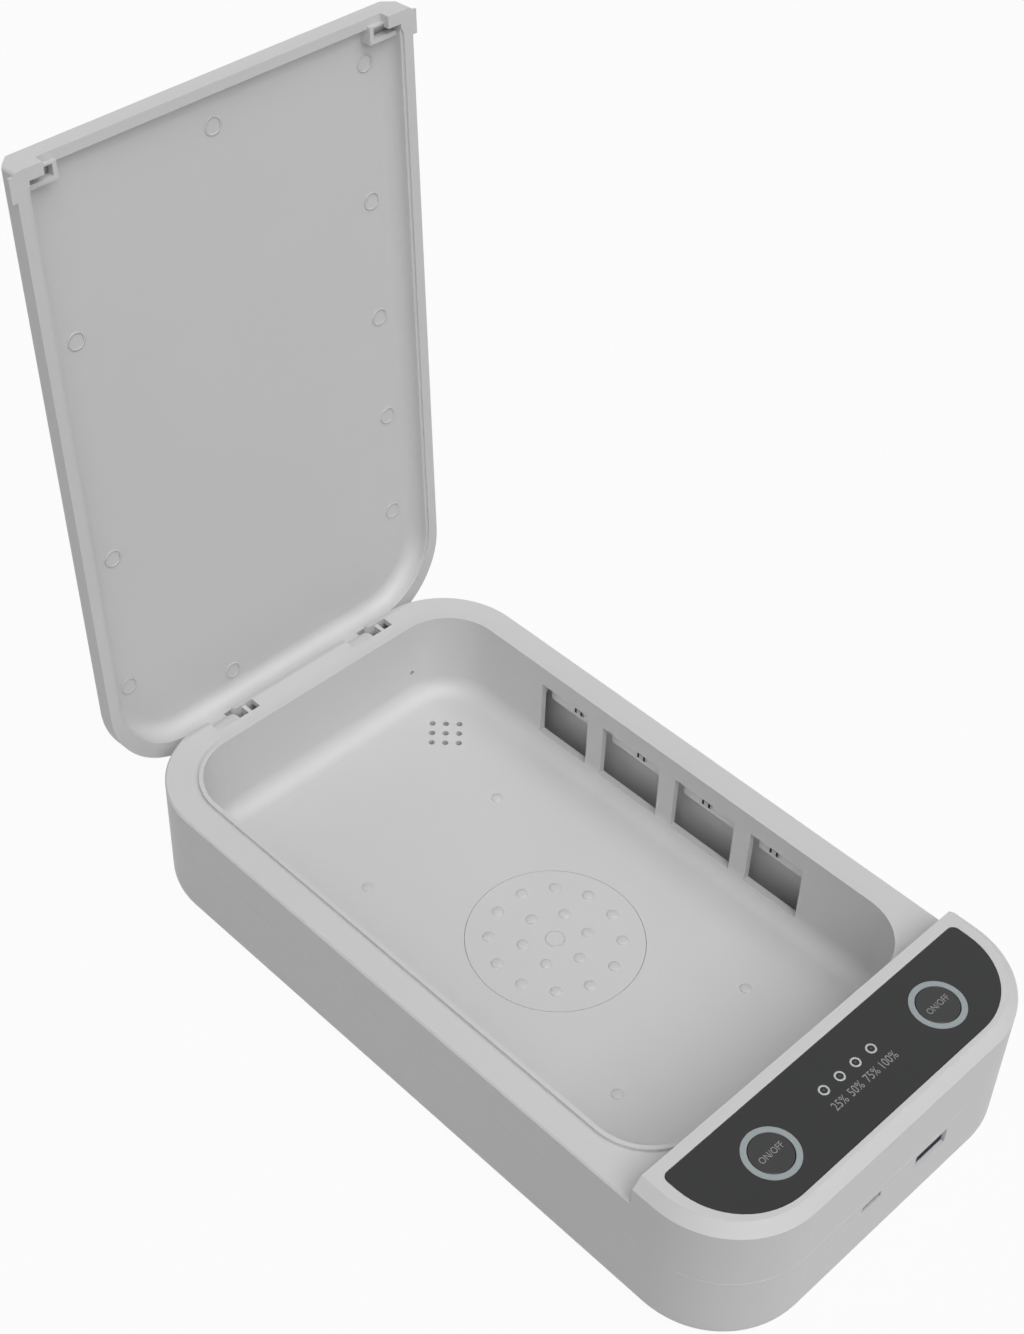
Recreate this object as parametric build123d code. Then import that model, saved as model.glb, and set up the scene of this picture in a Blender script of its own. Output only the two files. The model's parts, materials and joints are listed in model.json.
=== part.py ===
from build123d import *
import os

# A table-top box that disinfects a phone with ultraviolet light under a hinged lid.
# X runs across the box, +Y towards the lid's hinge and +Z up. The origin is on the table under the
# centre of the chamber. Lengths are in millimetres. The lid is exported open, resting on its stop.

# ---- Chamber: the well that holds the phone ----
CHAMBER_WIDTH = 110.0
CHAMBER_LENGTH = 189.0
CHAMBER_CORNER_R = 18.0
CHAMBER_DEPTH = 29.8
COVE_R = 6.0  # wall into floor
FLOOR_THICKNESS = 2.0
LIP_WIDTH = 1.25
LIP_HEIGHT = 1.2

# ---- Case ----
FOOT_HEIGHT = 1.0
FOOT_R = 5.0
FOOT_INSET = (17.0, 32.0)  # from the case's sides, and from its front and back
RIM_HEIGHT = 39.9  # above the underside
RIM_WIDTH = 10.0  # at the sides
RIM_BACK_WIDTH = 11.9
RIM_THICKNESS = 2.0
RIM_EDGE = 0.5
RIM_SWING_GAP = 0.1  # back edge to the lid's land as it swings past
WALL = 2.0
BASE_EDGE_R = 5.0
LOWER_HEIGHT = 26.0  # underside to the parting line
PARTING_BEVEL = 0.3

# ---- Control block at the front ----
BLOCK_GAP = 2.6  # chamber mouth to the block's back face
BLOCK_LENGTH = 35.4
BLOCK_RISE = 9.1
BLOCK_CHAMFER = 3.1
BLOCK_ROOF = 3.0

# ---- Control panel, buttons and indicator lights ----
PANEL_WIDTH = 117.2
PANEL_LENGTH = 27.1
PANEL_BACK_MARGIN = 3.65
PANEL_THICKNESS = 1.2
PANEL_FRONT_R = 22.0
PANEL_BACK_R = 2.0
PANEL_GAP = 0.15
BUTTON_SPACING = 67.5
BUTTON_BACK_OFFSET = 17.75  # block's back face to the button centres
BUTTON_R = 6.1
BUTTON_TRAVEL = 0.5
BUTTON_GAP = 0.12
RING_R = 7.9
RING_FLANGE_R = 9.2
RING_FLANGE = 1.0
STEM_R = 2.0
LIGHT_PITCH = 6.37
LIGHT_COUNT = 4
LIGHT_R = 1.55
LIGHT_BACK_OFFSET = 14.55
LIGHT_BAR = (26.0, 4.6, 1.4)

# ---- Circuit boards ----
BOARD_THICKNESS = 1.6
CONTROL_BOARD_WIDTH = 96.0
CONTROL_BOARD_LENGTH = 25.0
CONTROL_BOARD_DROP = 7.0  # block roof down to the board's top
POWER_BOARD_WIDTH = 68.0
POWER_BOARD_LENGTH = 29.0
POST_R = 2.6
POST_INSET = 4.0
SWITCH_SIZE = 6.0
SWITCH_HEIGHT = 3.6
PLUNGER_R = 1.7
PLUNGER_DEPTH = 1.4
SLIDING_GAP = 0.05
CHIP_LED = (2.0, 1.25, 0.8)
RING_LED_OFFSET = 8.0
SENSOR_SIZE = (3.0, 4.0, 1.2)
RIBBON_SIZE = (9.0, 1.0)

# ---- Connectors in the front wall ----
PORT_LINE_Z = 22.1  # top of the power board
PORT_GAP = 0.05
PORT_RECESS = 1.4  # shell mouth behind the front face
USB_A_X = 14.9
USB_A_SIZE = (13.1, 14.0, 5.7)
USB_A_SINK = 3.25  # shell's lower side below the board's top
USB_A_WALL = 0.35
USB_A_TONGUE = (11.1, 8.6, 1.9)
USB_A_TONGUE_BACKSET = 2.9
MICRO_X = -10.25
MICRO_SIZE = (7.6, 5.6, 2.5)
MICRO_WALL = 0.3
MICRO_TONGUE = (5.2, 3.6, 0.6)

# ---- Ultraviolet strip behind the right-hand wall ----
WINDOW_WIDTHS = (19.9, 23.7, 23.7, 19.9)
WINDOW_BAR = 6.2
WINDOW_SILL = 3.9  # above the chamber floor
WINDOW_HEIGHT = 20.2
UV_BOARD_LENGTH = 118.0
UV_BOARD_HEIGHT = 11.5
UV_BOARD_THICKNESS = 1.2
UV_BOARD_STANDOFF = 1.9  # behind the chamber wall
UV_BOARD_TOP_GAP = 0.2
UV_BOARD_NOTCH = (3.0, 9.0)  # length and height of the cut-out at each window's far end
UV_NOTCH_LEAD = 0.8  # notch start before the window's far edge
UV_LED_PITCH = 26.6
UV_LED_SIZE = (0.7, 3.5, 2.8)
UV_LED_LOW = 1.7  # board's lower edge to the package
RAIL_LENGTH = 3.5
RAIL_LIP = 0.9
LEAD_R = 0.8
LEAD_BEND_R = 4.0

# ---- Chamber floor ----
DISC_Y = -8.6
DISC_R = 26.5
DISC_THICKNESS = 1.2
DISC_GAP = 0.15
DOT_R = 1.5
DOT_HEIGHT = 0.3
DISC_DOT_RINGS = ((9.9, 6, 30.0), (19.6, 12, 15.0))  # ring radius, count, first angle
DISC_CENTRE_R = 2.9
FLOOR_DOT_X = 26.8
FLOOR_DOTS_Y = (-58.9, 43.5)
VENT_X = 34.8
VENT_Y = 75.1
VENT_PITCH = 4.3
VENT_R = 1.0
WALL_HOLE_X = 38.1
WALL_HOLE_R = 0.9
WALL_HOLE_RISE = 10.8
TRAY_SIZE = (25.0, 21.0)
TRAY_WALL = 1.2
TRAY_GAP = 0.3
PAD_TOP_GAP = 0.6

# ---- Lid and hinge ----
LID_GAP = 0.3  # above the rim
LID_INSET = 0.4  # inside the case's sides and back
LID_FRONT_GAP = 0.3
LID_CHAMFER = 3.8
LID_LAND = 3.2
LID_STEP = (0.9, 0.6)  # width and depth of the step between a side land and the cavity
LID_FRONT_LAND = 2.7
LID_DEPTH = 6.2
LID_FRONT_R = 1.0
LID_COVE_R = 4.5  # walls into ceiling
LID_INSIDE_R = 5.0  # front corners of the cavity
LID_NOTCH_WIDTH = 112.0
LID_NOTCH_HEIGHT = 3.2
LID_TAB = (1.5, 6.9, 0.8)
LID_TAB_SETBACK = 1.0
OPEN_ANGLE = 93.8
AXIS_INSET = 4.0  # in from the case's back
AXIS_DROP = 7.3  # below the rim
KNUCKLE_R = 1.7
ARM_WIDTH = 9.0
HEEL_R = 5.5  # fills the slot in the rim while the lid stands open
SLOT_WIDTH = 16.0
SLOT_X = 27.0
SLOT_FRONT_GAP = 0.3
SLOT_SIDE_GAP = 0.3
SLOT_SILL_GAP = 0.35
RIB_THICKNESS = 3.0
RIB_DROP = 2.5  # below the axis
WEB_THICKNESS = 1.3
WEB_GAP = 2.9
WEB_DROP = 1.0
PIN_R = 0.8
PIN_HOLD = 2.4
PIN_END = 1.0
PIN_SEAT_GAP = 0.02

# ---- Magnets ----
MAGNET_SIZE = (8.0, 3.0, 2.0)
MAGNET_GAP = 0.1
MAGNET_SLEEVE = 1.0
MAGNET_RIB = 1.3
MAGNET_RIB_DROP = 2.0  # below the lid's land
MAGNET_HOOK = (4.5, 0.8)  # pad at the land's level that overhangs each pocket

# ---- Screws ----
CASE_SCREW_R = 1.1
CASE_SCREW_LENGTH = 6.0
CASE_HEAD_R = 2.2
CASE_HEAD_HEIGHT = 1.6
CASE_BOSS_R = 3.6
CASE_HEAD_GAP = 0.3
REAR_SCREW = (46.0, 56.0)
REAR_BOSS_HEIGHT = 3.1
FRONT_SCREW = (52.0, -116.0)
FRONT_BOSS_GRIP = 2.6
BOARD_SCREW_R = 0.9
BOARD_SCREW_LENGTH = 4.0
BOARD_HEAD_R = 1.8
BOARD_HEAD_HEIGHT = 1.2
THREAD_GAP = 0.02
CLEARANCE_HOLE_GAP = 0.2
HOLE_TIP = 0.6

# ---- Places worked out from the sizes above ----
UNDERSIDE_Z = FOOT_HEIGHT
RIM_Z = UNDERSIDE_Z + RIM_HEIGHT
FLOOR_Z = RIM_Z - CHAMBER_DEPTH
TUB_UNDER_Z = FLOOR_Z - FLOOR_THICKNESS
PARTING_Z = UNDERSIDE_Z + LOWER_HEIGHT
SHELL_FLOOR_Z = UNDERSIDE_Z + WALL
TOP_Z = RIM_Z + BLOCK_RISE
ROOF_Z = TOP_Z - BLOCK_ROOF
CASE_WIDTH = CHAMBER_WIDTH + 2 * RIM_WIDTH
CASE_CORNER_R = CHAMBER_CORNER_R + RIM_WIDTH
BACK_Y = CHAMBER_LENGTH / 2 + RIM_BACK_WIDTH
BLOCK_BACK_Y = -CHAMBER_LENGTH / 2 - BLOCK_GAP
FRONT_Y = BLOCK_BACK_Y - BLOCK_LENGTH
PANEL_BACK_Y = BLOCK_BACK_Y - PANEL_BACK_MARGIN
PANEL_Z = TOP_Z - PANEL_THICKNESS
BUTTON_Y = BLOCK_BACK_Y - BUTTON_BACK_OFFSET
BUTTON_XS = (-BUTTON_SPACING / 2, BUTTON_SPACING / 2)
LIGHT_Y = BLOCK_BACK_Y - LIGHT_BACK_OFFSET
LIGHT_XS = [(i - (LIGHT_COUNT - 1) / 2) * LIGHT_PITCH for i in range(LIGHT_COUNT)]
RING_FLANGE_TOP_Z = ROOF_Z
CONTROL_TOP_Z = ROOF_Z - CONTROL_BOARD_DROP
CONTROL_Y = BUTTON_Y
SWITCH_TOP_Z = CONTROL_TOP_Z + SWITCH_HEIGHT
PORT_Y = FRONT_Y + PORT_RECESS
POWER_Y = PORT_Y + POWER_BOARD_LENGTH / 2 + 1.0
WINDOW_LOW_Z = FLOOR_Z + WINDOW_SILL
TUB_SIDE_X = CHAMBER_WIDTH / 2 + WALL
UV_BOARD_X = TUB_SIDE_X + UV_BOARD_STANDOFF
UV_BOARD_HIGH_Z = RIM_Z - RIM_THICKNESS - UV_BOARD_TOP_GAP
UV_BOARD_LOW_Z = UV_BOARD_HIGH_Z - UV_BOARD_HEIGHT
LAND_Z = RIM_Z + LID_GAP
LID_BACK_Y = BACK_Y - LID_INSET
LID_FRONT_Y = BLOCK_BACK_Y + LID_FRONT_GAP
LID_HALF_WIDTH = CASE_WIDTH / 2 - LID_INSET
LID_CORNER_R = CASE_CORNER_R - LID_INSET
CEILING_Z = LAND_Z + LID_DEPTH
AXIS_Y = BACK_Y - AXIS_INSET
AXIS_Z = RIM_Z - AXIS_DROP
ARM_FRONT_Y = AXIS_Y - KNUCKLE_R
SILL_Z = AXIS_Z - KNUCKLE_R - SLOT_SILL_GAP
SLOT_FRONT_Y = ARM_FRONT_Y - SLOT_FRONT_GAP
SLOT_LEFTS = (-SLOT_X - SLOT_WIDTH / 2, SLOT_X - SLOT_WIDTH / 2)
CAVITY_X = LID_HALF_WIDTH - LID_LAND - LID_STEP[0]
MAGNET_X = CAVITY_X - MAGNET_GAP - MAGNET_SIZE[0] / 2
MAGNET_Y = LID_FRONT_Y + LID_FRONT_LAND + MAGNET_GAP + MAGNET_SIZE[1] / 2
FEET = [
    (side * (CASE_WIDTH / 2 - FOOT_INSET[0]), y)
    for side in (-1, 1)
    for y in (FRONT_Y + FOOT_INSET[1], BACK_Y - FOOT_INSET[1])
]
CONTROL_POSTS = [
    (sx * (CONTROL_BOARD_WIDTH / 2 - POST_INSET), CONTROL_Y + sy * (CONTROL_BOARD_LENGTH / 2 - POST_INSET))
    for sx in (-1, 1)
    for sy in (-1, 1)
]
POWER_POSTS = [
    (sx * (POWER_BOARD_WIDTH / 2 - POST_INSET), POWER_Y + sy * (POWER_BOARD_LENGTH / 2 - POST_INSET))
    for sx in (-1, 1)
    for sy in (-1, 1)
]
REAR_SCREWS = [(side * REAR_SCREW[0], REAR_SCREW[1]) for side in (-1, 1)]
FRONT_SCREWS = [(side * FRONT_SCREW[0], FRONT_SCREW[1]) for side in (-1, 1)]
REAR_SEAT_Z = SHELL_FLOOR_Z + 0.6
REAR_JOINT_Z = SHELL_FLOOR_Z + REAR_BOSS_HEIGHT
FRONT_SEAT_Z = PARTING_Z - FRONT_BOSS_GRIP


# ---- Shared shapes ----
def slab(outline, low, high):
    """A flat outline as a solid between two heights."""
    return extrude(Pos(0, 0, low) * outline, amount=high - low)


def cuboid(low, high):
    """A box between two opposite corners."""
    size = [b - a for a, b in zip(low, high)]
    middle = [(a + b) / 2 for a, b in zip(low, high)]
    return Pos(*middle) * Box(*size)


def rod(x, y, radius, low, high):
    """An upright cylinder between two heights."""
    return Pos(x, y, (low + high) / 2) * Cylinder(radius, high - low)


def cross_rod(low_x, high_x, radius):
    """A cylinder along the hinge axis."""
    middle = Pos((low_x + high_x) / 2, AXIS_Y, AXIS_Z)
    return middle * Rot(0, 90, 0) * Cylinder(radius, high_x - low_x)


def case_plan(inset=0.0):
    """The case from above, drawn in all round by an inset."""
    length = BACK_Y - FRONT_Y - 2 * inset
    outline = RectangleRounded(CASE_WIDTH - 2 * inset, length, CASE_CORNER_R - inset)
    return Pos(0, (BACK_Y + FRONT_Y) / 2) * outline


def chamber_plan(outset=0.0):
    """The chamber's mouth from above, widened all round by an outset."""
    width = CHAMBER_WIDTH + 2 * outset
    length = CHAMBER_LENGTH + 2 * outset
    return RectangleRounded(width, length, CHAMBER_CORNER_R + outset)


def four_corner_plan(half_width, front_y, back_y, front_r, back_r):
    """A rectangle with one radius at its front corners and another at its back corners."""
    outline = Pos(0, (front_y + back_y) / 2) * Rectangle(2 * half_width, back_y - front_y)
    corners = outline.vertices().sort_by(Axis.Y)
    outline = fillet(corners[:2], front_r)
    return fillet(outline.vertices().sort_by(Axis.Y)[-2:], back_r)


def top_edges(solid):
    """The outer edges of a solid's highest face."""
    return solid.faces().sort_by(Axis.Z)[-1].outer_wire().edges()


def bottom_edges(solid):
    """The outer edges of a solid's lowest face."""
    return solid.faces().sort_by(Axis.Z)[0].outer_wire().edges()


def dots(places, base_z):
    """Low round dots that stand on a level."""
    return [rod(x, y, DOT_R, base_z, base_z + DOT_HEIGHT) for x, y in places]


def windows():
    """Centre and width of each opening in the chamber's right-hand wall, from the front."""
    total = sum(WINDOW_WIDTHS) + WINDOW_BAR * (len(WINDOW_WIDTHS) - 1)
    start = -total / 2
    places = []
    for width in WINDOW_WIDTHS:
        places.append((start + width / 2, width))
        start += width + WINDOW_BAR
    return places


def swing_open(piece):
    """Turn a piece drawn with the lid shut to where it lies with the lid on its stop."""
    return Pos(0, AXIS_Y, AXIS_Z) * Rot(-OPEN_ANGLE, 0, 0) * Pos(0, -AXIS_Y, -AXIS_Z) * piece


# ---- Case ----
def bottom_shell():
    """Lower half of the case with screw bosses, board posts and connector openings."""
    shell = slab(case_plan(), UNDERSIDE_Z, PARTING_Z)
    shell = fillet(bottom_edges(shell), BASE_EDGE_R)
    shell = chamfer(top_edges(shell), PARTING_BEVEL)
    hollow = slab(case_plan(WALL), SHELL_FLOOR_Z, PARTING_Z)
    shell -= fillet(bottom_edges(hollow), BASE_EDGE_R - WALL)
    for x, y in POWER_POSTS:
        shell += rod(x, y, POST_R, SHELL_FLOOR_Z, PORT_LINE_Z - BOARD_THICKNESS)
        shell -= board_screw_hole(x, y, PORT_LINE_Z, -1)
    for x, y in REAR_SCREWS:
        shell += rod(x, y, CASE_BOSS_R, SHELL_FLOOR_Z, REAR_JOINT_Z)
        shell -= case_screw_way(x, y, REAR_SEAT_Z, REAR_JOINT_Z)
    for x, y in FRONT_SCREWS:
        shell += rod(x, y, CASE_BOSS_R, SHELL_FLOOR_Z, PARTING_Z)
        shell -= case_screw_way(x, y, FRONT_SEAT_Z, PARTING_Z)
    return shell - usb_a_block(PORT_GAP) - micro_block(PORT_GAP)


def case_screw_way(x, y, seat_z, joint_z):
    """Counterbore and clearance hole for one case screw, from below."""
    head = rod(x, y, CASE_HEAD_R + CASE_HEAD_GAP, UNDERSIDE_Z - 1, seat_z)
    shank = rod(x, y, CASE_SCREW_R + CLEARANCE_HOLE_GAP, seat_z, joint_z)
    return head + shank


def case_thread_hole(x, y, seat_z, joint_z):
    """Blind hole that the end of one case screw cuts its thread in."""
    return rod(x, y, CASE_SCREW_R + THREAD_GAP, joint_z, seat_z + CASE_SCREW_LENGTH + HOLE_TIP)


def board_screw_hole(x, y, seat_z, towards):
    """Blind hole in a post for a board screw that enters upwards or downwards."""
    ends = sorted((seat_z, seat_z + towards * (BOARD_SCREW_LENGTH + HOLE_TIP)))
    return rod(x, y, BOARD_SCREW_R + THREAD_GAP, *ends)


def usb_a_block(gap):
    """The outlet's outer envelope, run out through the front wall."""
    width, length, height = USB_A_SIZE
    low_z = PORT_LINE_Z - USB_A_SINK
    return cuboid(
        (USB_A_X - width / 2 - gap, FRONT_Y - 1, low_z - gap),
        (USB_A_X + width / 2 + gap, PORT_Y + length, low_z + height + gap),
    )


def micro_block(gap):
    """The inlet's outer envelope, run out through the front wall."""
    width, length, height = MICRO_SIZE
    return cuboid(
        (MICRO_X - width / 2 - gap, FRONT_Y - 1, PORT_LINE_Z - gap),
        (MICRO_X + width / 2 + gap, PORT_Y + length, PORT_LINE_Z + height + gap),
    )


def upper_housing():
    """Rim, lip, chamber, control block and hinge ribs as one moulding."""
    body = slab(case_plan(), PARTING_Z, RIM_Z)
    body = chamfer(top_edges(body), RIM_EDGE)
    body += control_block()
    body -= slab(case_plan(WALL), PARTING_Z, RIM_Z - RIM_THICKNESS)
    body -= block_hollow()
    tub = slab(chamber_plan(WALL), TUB_UNDER_Z, RIM_Z)
    body += fillet(bottom_edges(tub), COVE_R)
    body += slab(chamber_plan(LIP_WIDTH), RIM_Z, RIM_Z + LIP_HEIGHT)
    for x, y in REAR_SCREWS:
        body += rod(x, y, CASE_BOSS_R, REAR_JOINT_Z, FLOOR_Z - FLOOR_THICKNESS / 2)
    body -= chamber_well()
    body -= disc_seat()
    body += dots([(sx * FLOOR_DOT_X, y) for sx in (-1, 1) for y in FLOOR_DOTS_Y], FLOOR_Z)
    body -= chamber_openings()
    body = body - hinge_slots() + hinge_ribs() - hinge_pin_holes() - rim_back_edge()
    body += uv_rails() + magnet_cups()
    body -= panel_seat()
    for x, y in REAR_SCREWS:
        body -= case_thread_hole(x, y, REAR_SEAT_Z, REAR_JOINT_Z)
    for x, y in FRONT_SCREWS:
        body += rod(x, y, CASE_BOSS_R, PARTING_Z, ROOF_Z)
        body -= case_thread_hole(x, y, FRONT_SEAT_Z, PARTING_Z)
    for x, y in CONTROL_POSTS:
        body += rod(x, y, POST_R, CONTROL_TOP_Z, ROOF_Z)
        body -= board_screw_hole(x, y, CONTROL_TOP_Z - BOARD_THICKNESS, 1)
    return body


def control_block():
    """The raised front of the case, chamfered round its sides and front."""
    block = slab(case_plan(), PARTING_Z, TOP_Z)
    block = chamfer(top_edges(block), BLOCK_CHAMFER)
    front = cuboid((-CASE_WIDTH, FRONT_Y - 1, PARTING_Z), (CASE_WIDTH, BLOCK_BACK_Y, TOP_Z))
    return block & front


def block_hollow():
    """The space inside the control block above the rim's underside."""
    hollow = slab(case_plan(WALL), RIM_Z - RIM_THICKNESS, ROOF_Z)
    front = cuboid(
        (-CASE_WIDTH, FRONT_Y, RIM_Z - RIM_THICKNESS),
        (CASE_WIDTH, BLOCK_BACK_Y - WALL, ROOF_Z),
    )
    return hollow & front


def chamber_well():
    """The space in the chamber, coved at its foot."""
    well = slab(chamber_plan(), FLOOR_Z, RIM_Z + LIP_HEIGHT + 1)
    return fillet(bottom_edges(well), COVE_R)


def disc_seat():
    """Shallow round recess that takes the floor disc."""
    return rod(0, DISC_Y, DISC_R + DISC_GAP, FLOOR_Z - DISC_THICKNESS, FLOOR_Z + 1)


def chamber_openings():
    """Wall windows, scent vent and the small hole in the back wall."""
    cuts = []
    for middle, width in windows():
        low = (CHAMBER_WIDTH / 2 - COVE_R, middle - width / 2, WINDOW_LOW_Z)
        high = (TUB_SIDE_X + 0.5, middle + width / 2, WINDOW_LOW_Z + WINDOW_HEIGHT)
        cuts.append(cuboid(low, high))
    grid = Pos(VENT_X, VENT_Y) * Rot(0, 0, 45) * GridLocations(VENT_PITCH, VENT_PITCH, 3, 3)
    for place in grid:
        x, y, _ = place.position
        cuts.append(rod(x, y, VENT_R, TUB_UNDER_Z - 1, FLOOR_Z + 1))
    hole = Rot(90, 0, 0) * Cylinder(WALL_HOLE_R, 3 * WALL)
    cuts.append(Pos(WALL_HOLE_X, CHAMBER_LENGTH / 2 + WALL, FLOOR_Z + WALL_HOLE_RISE) * hole)
    return cuts


def hinge_slots():
    """Slots in the rim, each run out through the back wall over its arm's width."""
    slots = []
    for left in SLOT_LEFTS:
        low = (left, SLOT_FRONT_Y, RIM_Z - RIM_THICKNESS - 1)
        slots.append(cuboid(low, (left + SLOT_WIDTH, BACK_Y - WALL, RIM_Z + 1)))
        low = (left, BACK_Y - WALL - 1, SILL_Z)
        slots.append(cuboid(low, (left + ARM_WIDTH + 2 * SLOT_SIDE_GAP, BACK_Y + 1, RIM_Z + 1)))
    return slots


def web_low_x(left):
    """The near side of the thin web that carries a pin's far end."""
    return left + SLOT_SIDE_GAP + ARM_WIDTH + WEB_GAP


def hinge_ribs():
    """Upright ribs between the chamber's wall and the back wall that carry the pins' ends."""
    ribs = []
    low_y = CHAMBER_LENGTH / 2 + WALL / 2
    low_z = AXIS_Z - RIB_DROP
    for left in SLOT_LEFTS:
        high = (left, BACK_Y - WALL / 2, RIM_Z - RIM_THICKNESS / 2)
        ribs.append(cuboid((left - RIB_THICKNESS, low_y, low_z), high))
        high = (web_low_x(left) + WEB_THICKNESS, BACK_Y - WALL / 2, RIM_Z - WEB_DROP)
        ribs.append(cuboid((web_low_x(left), low_y, low_z), high))
    return ribs


def hinge_pin_holes():
    """Close holes for the two pins, blind at their left-hand ends."""
    return [
        cross_rod(left - PIN_HOLD, web_low_x(left) + WEB_THICKNESS, PIN_R + PIN_SEAT_GAP)
        for left in SLOT_LEFTS
    ]


def rim_back_edge():
    """What the lid's land sweeps past behind the axis, which rounds the rim's back edge."""
    corner = cuboid((-CASE_WIDTH, AXIS_Y, AXIS_Z), (CASE_WIDTH, BACK_Y + 1, RIM_Z + 1))
    return corner - cross_rod(-CASE_WIDTH, CASE_WIDTH, LAND_Z - AXIS_Z - RIM_SWING_GAP)


def uv_rails():
    """Two grooved rails under the rim that hold the ends of the ultraviolet board."""
    rails = []
    for side in (-1, 1):
        ends = sorted((side * UV_BOARD_LENGTH / 2, side * (UV_BOARD_LENGTH / 2 - RAIL_LENGTH)))
        low = (TUB_SIDE_X - WALL / 2, ends[0], UV_BOARD_LOW_Z)
        high = (UV_BOARD_X + UV_BOARD_THICKNESS + RAIL_LIP, ends[1], RIM_Z - RIM_THICKNESS / 2)
        rails.append(cuboid(low, high) - uv_board_block(SLIDING_GAP))
    return rails


def uv_board_block(gap):
    """The ultraviolet board's envelope."""
    half = UV_BOARD_LENGTH / 2 + gap
    low = (UV_BOARD_X - gap, -half, UV_BOARD_LOW_Z - gap)
    return cuboid(low, (UV_BOARD_X + UV_BOARD_THICKNESS + gap, half, UV_BOARD_HIGH_Z + gap))


def uv_board():
    """Strip that carries the LEDs, cut away from below at the far end of each window."""
    board = uv_board_block(0)
    length, height = UV_BOARD_NOTCH
    for middle, width in windows():
        y = middle + width / 2 - UV_NOTCH_LEAD
        low = (UV_BOARD_X - 1, y, UV_BOARD_LOW_Z - 1)
        high = (UV_BOARD_X + UV_BOARD_THICKNESS + 1, y + length, UV_BOARD_LOW_Z + height)
        board -= cuboid(low, high)
    return board


def magnet_block(side, low_z, gap=0.0):
    """A magnet's envelope at one front corner of the lid."""
    width, length, height = MAGNET_SIZE
    return cuboid(
        (side * MAGNET_X - width / 2 - gap, MAGNET_Y - length / 2 - gap, low_z),
        (side * MAGNET_X + width / 2 + gap, MAGNET_Y + length / 2 + gap, low_z + height),
    )


def magnet_cups():
    """Square sleeves under the rim that the case's magnets are pressed into."""
    cups = []
    low_z = RIM_Z - RIM_THICKNESS - MAGNET_SIZE[2]
    for side in (-1, 1):
        sleeve = magnet_block(side, low_z, MAGNET_GAP + MAGNET_SLEEVE)
        cups.append(sleeve - magnet_block(side, low_z, MAGNET_GAP))
    return cups


def panel_plan(gap=0.0):
    """The control panel's outline, widened all round by a gap."""
    return four_corner_plan(
        PANEL_WIDTH / 2 + gap,
        PANEL_BACK_Y - PANEL_LENGTH - gap,
        PANEL_BACK_Y + gap,
        PANEL_FRONT_R + gap,
        PANEL_BACK_R + gap,
    )


def panel_seat():
    """Recess for the panel, with holes below it for the buttons and the light pipe."""
    cuts = [slab(panel_plan(PANEL_GAP), PANEL_Z, TOP_Z + 1)]
    cuts += [rod(x, BUTTON_Y, RING_R + BUTTON_GAP, ROOF_Z - 1, TOP_Z) for x in BUTTON_XS]
    cuts += [rod(x, LIGHT_Y, LIGHT_R + BUTTON_GAP, ROOF_Z - 1, TOP_Z) for x in LIGHT_XS]
    return cuts


def feet():
    """Four soft pads under the case."""
    return Compound([rod(x, y, FOOT_R, 0, UNDERSIDE_Z) for x, y in FEET])


# ---- Controls ----
def control_panel():
    """Glossy plate with holes for the button rings and the indicator posts."""
    plate = slab(panel_plan(), PANEL_Z, TOP_Z)
    plate -= [rod(x, BUTTON_Y, RING_R + PANEL_GAP / 2, PANEL_Z, TOP_Z) for x in BUTTON_XS]
    return plate - [rod(x, LIGHT_Y, LIGHT_R + PANEL_GAP / 2, PANEL_Z, TOP_Z) for x in LIGHT_XS]


def button(x):
    """One push cap with its stem down to the switch plunger."""
    cap = rod(x, BUTTON_Y, BUTTON_R, ROOF_Z, TOP_Z)
    cap = chamfer(top_edges(cap), 0.2)
    stem_foot = SWITCH_TOP_Z + BUTTON_TRAVEL + SLIDING_GAP
    cap += rod(x, BUTTON_Y, STEM_R, stem_foot, ROOF_Z)
    collar_high = RING_FLANGE_TOP_Z - RING_FLANGE - SLIDING_GAP
    return cap + rod(x, BUTTON_Y, BUTTON_R + 1.0, collar_high - RING_FLANGE, collar_high)


def button_light_rings():
    """Pale tubes round the caps, each with a flange under the block's roof."""
    rings = []
    for x in BUTTON_XS:
        ring = rod(x, BUTTON_Y, RING_R, ROOF_Z, TOP_Z)
        ring += rod(x, BUTTON_Y, RING_FLANGE_R, RING_FLANGE_TOP_Z - RING_FLANGE, RING_FLANGE_TOP_Z)
        ring -= rod(x, BUTTON_Y, BUTTON_R + BUTTON_GAP, ROOF_Z - RING_FLANGE, TOP_Z)
        rings.append(ring)
    return Compound(rings)


def plunger(x):
    """The moving button of one tactile switch."""
    return rod(x, BUTTON_Y, PLUNGER_R, SWITCH_TOP_Z - PLUNGER_DEPTH, SWITCH_TOP_Z + BUTTON_TRAVEL)


def tact_switches():
    """The fixed bodies of the two tactile switches."""
    bodies = []
    half = SWITCH_SIZE / 2
    for x in BUTTON_XS:
        low = (x - half, BUTTON_Y - half, CONTROL_TOP_Z)
        body = cuboid(low, (x + half, BUTTON_Y + half, SWITCH_TOP_Z))
        well_low = SWITCH_TOP_Z - PLUNGER_DEPTH - BUTTON_TRAVEL - SLIDING_GAP
        bodies.append(body - rod(x, BUTTON_Y, PLUNGER_R + SLIDING_GAP, well_low, SWITCH_TOP_Z))
    return Compound(bodies)


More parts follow.
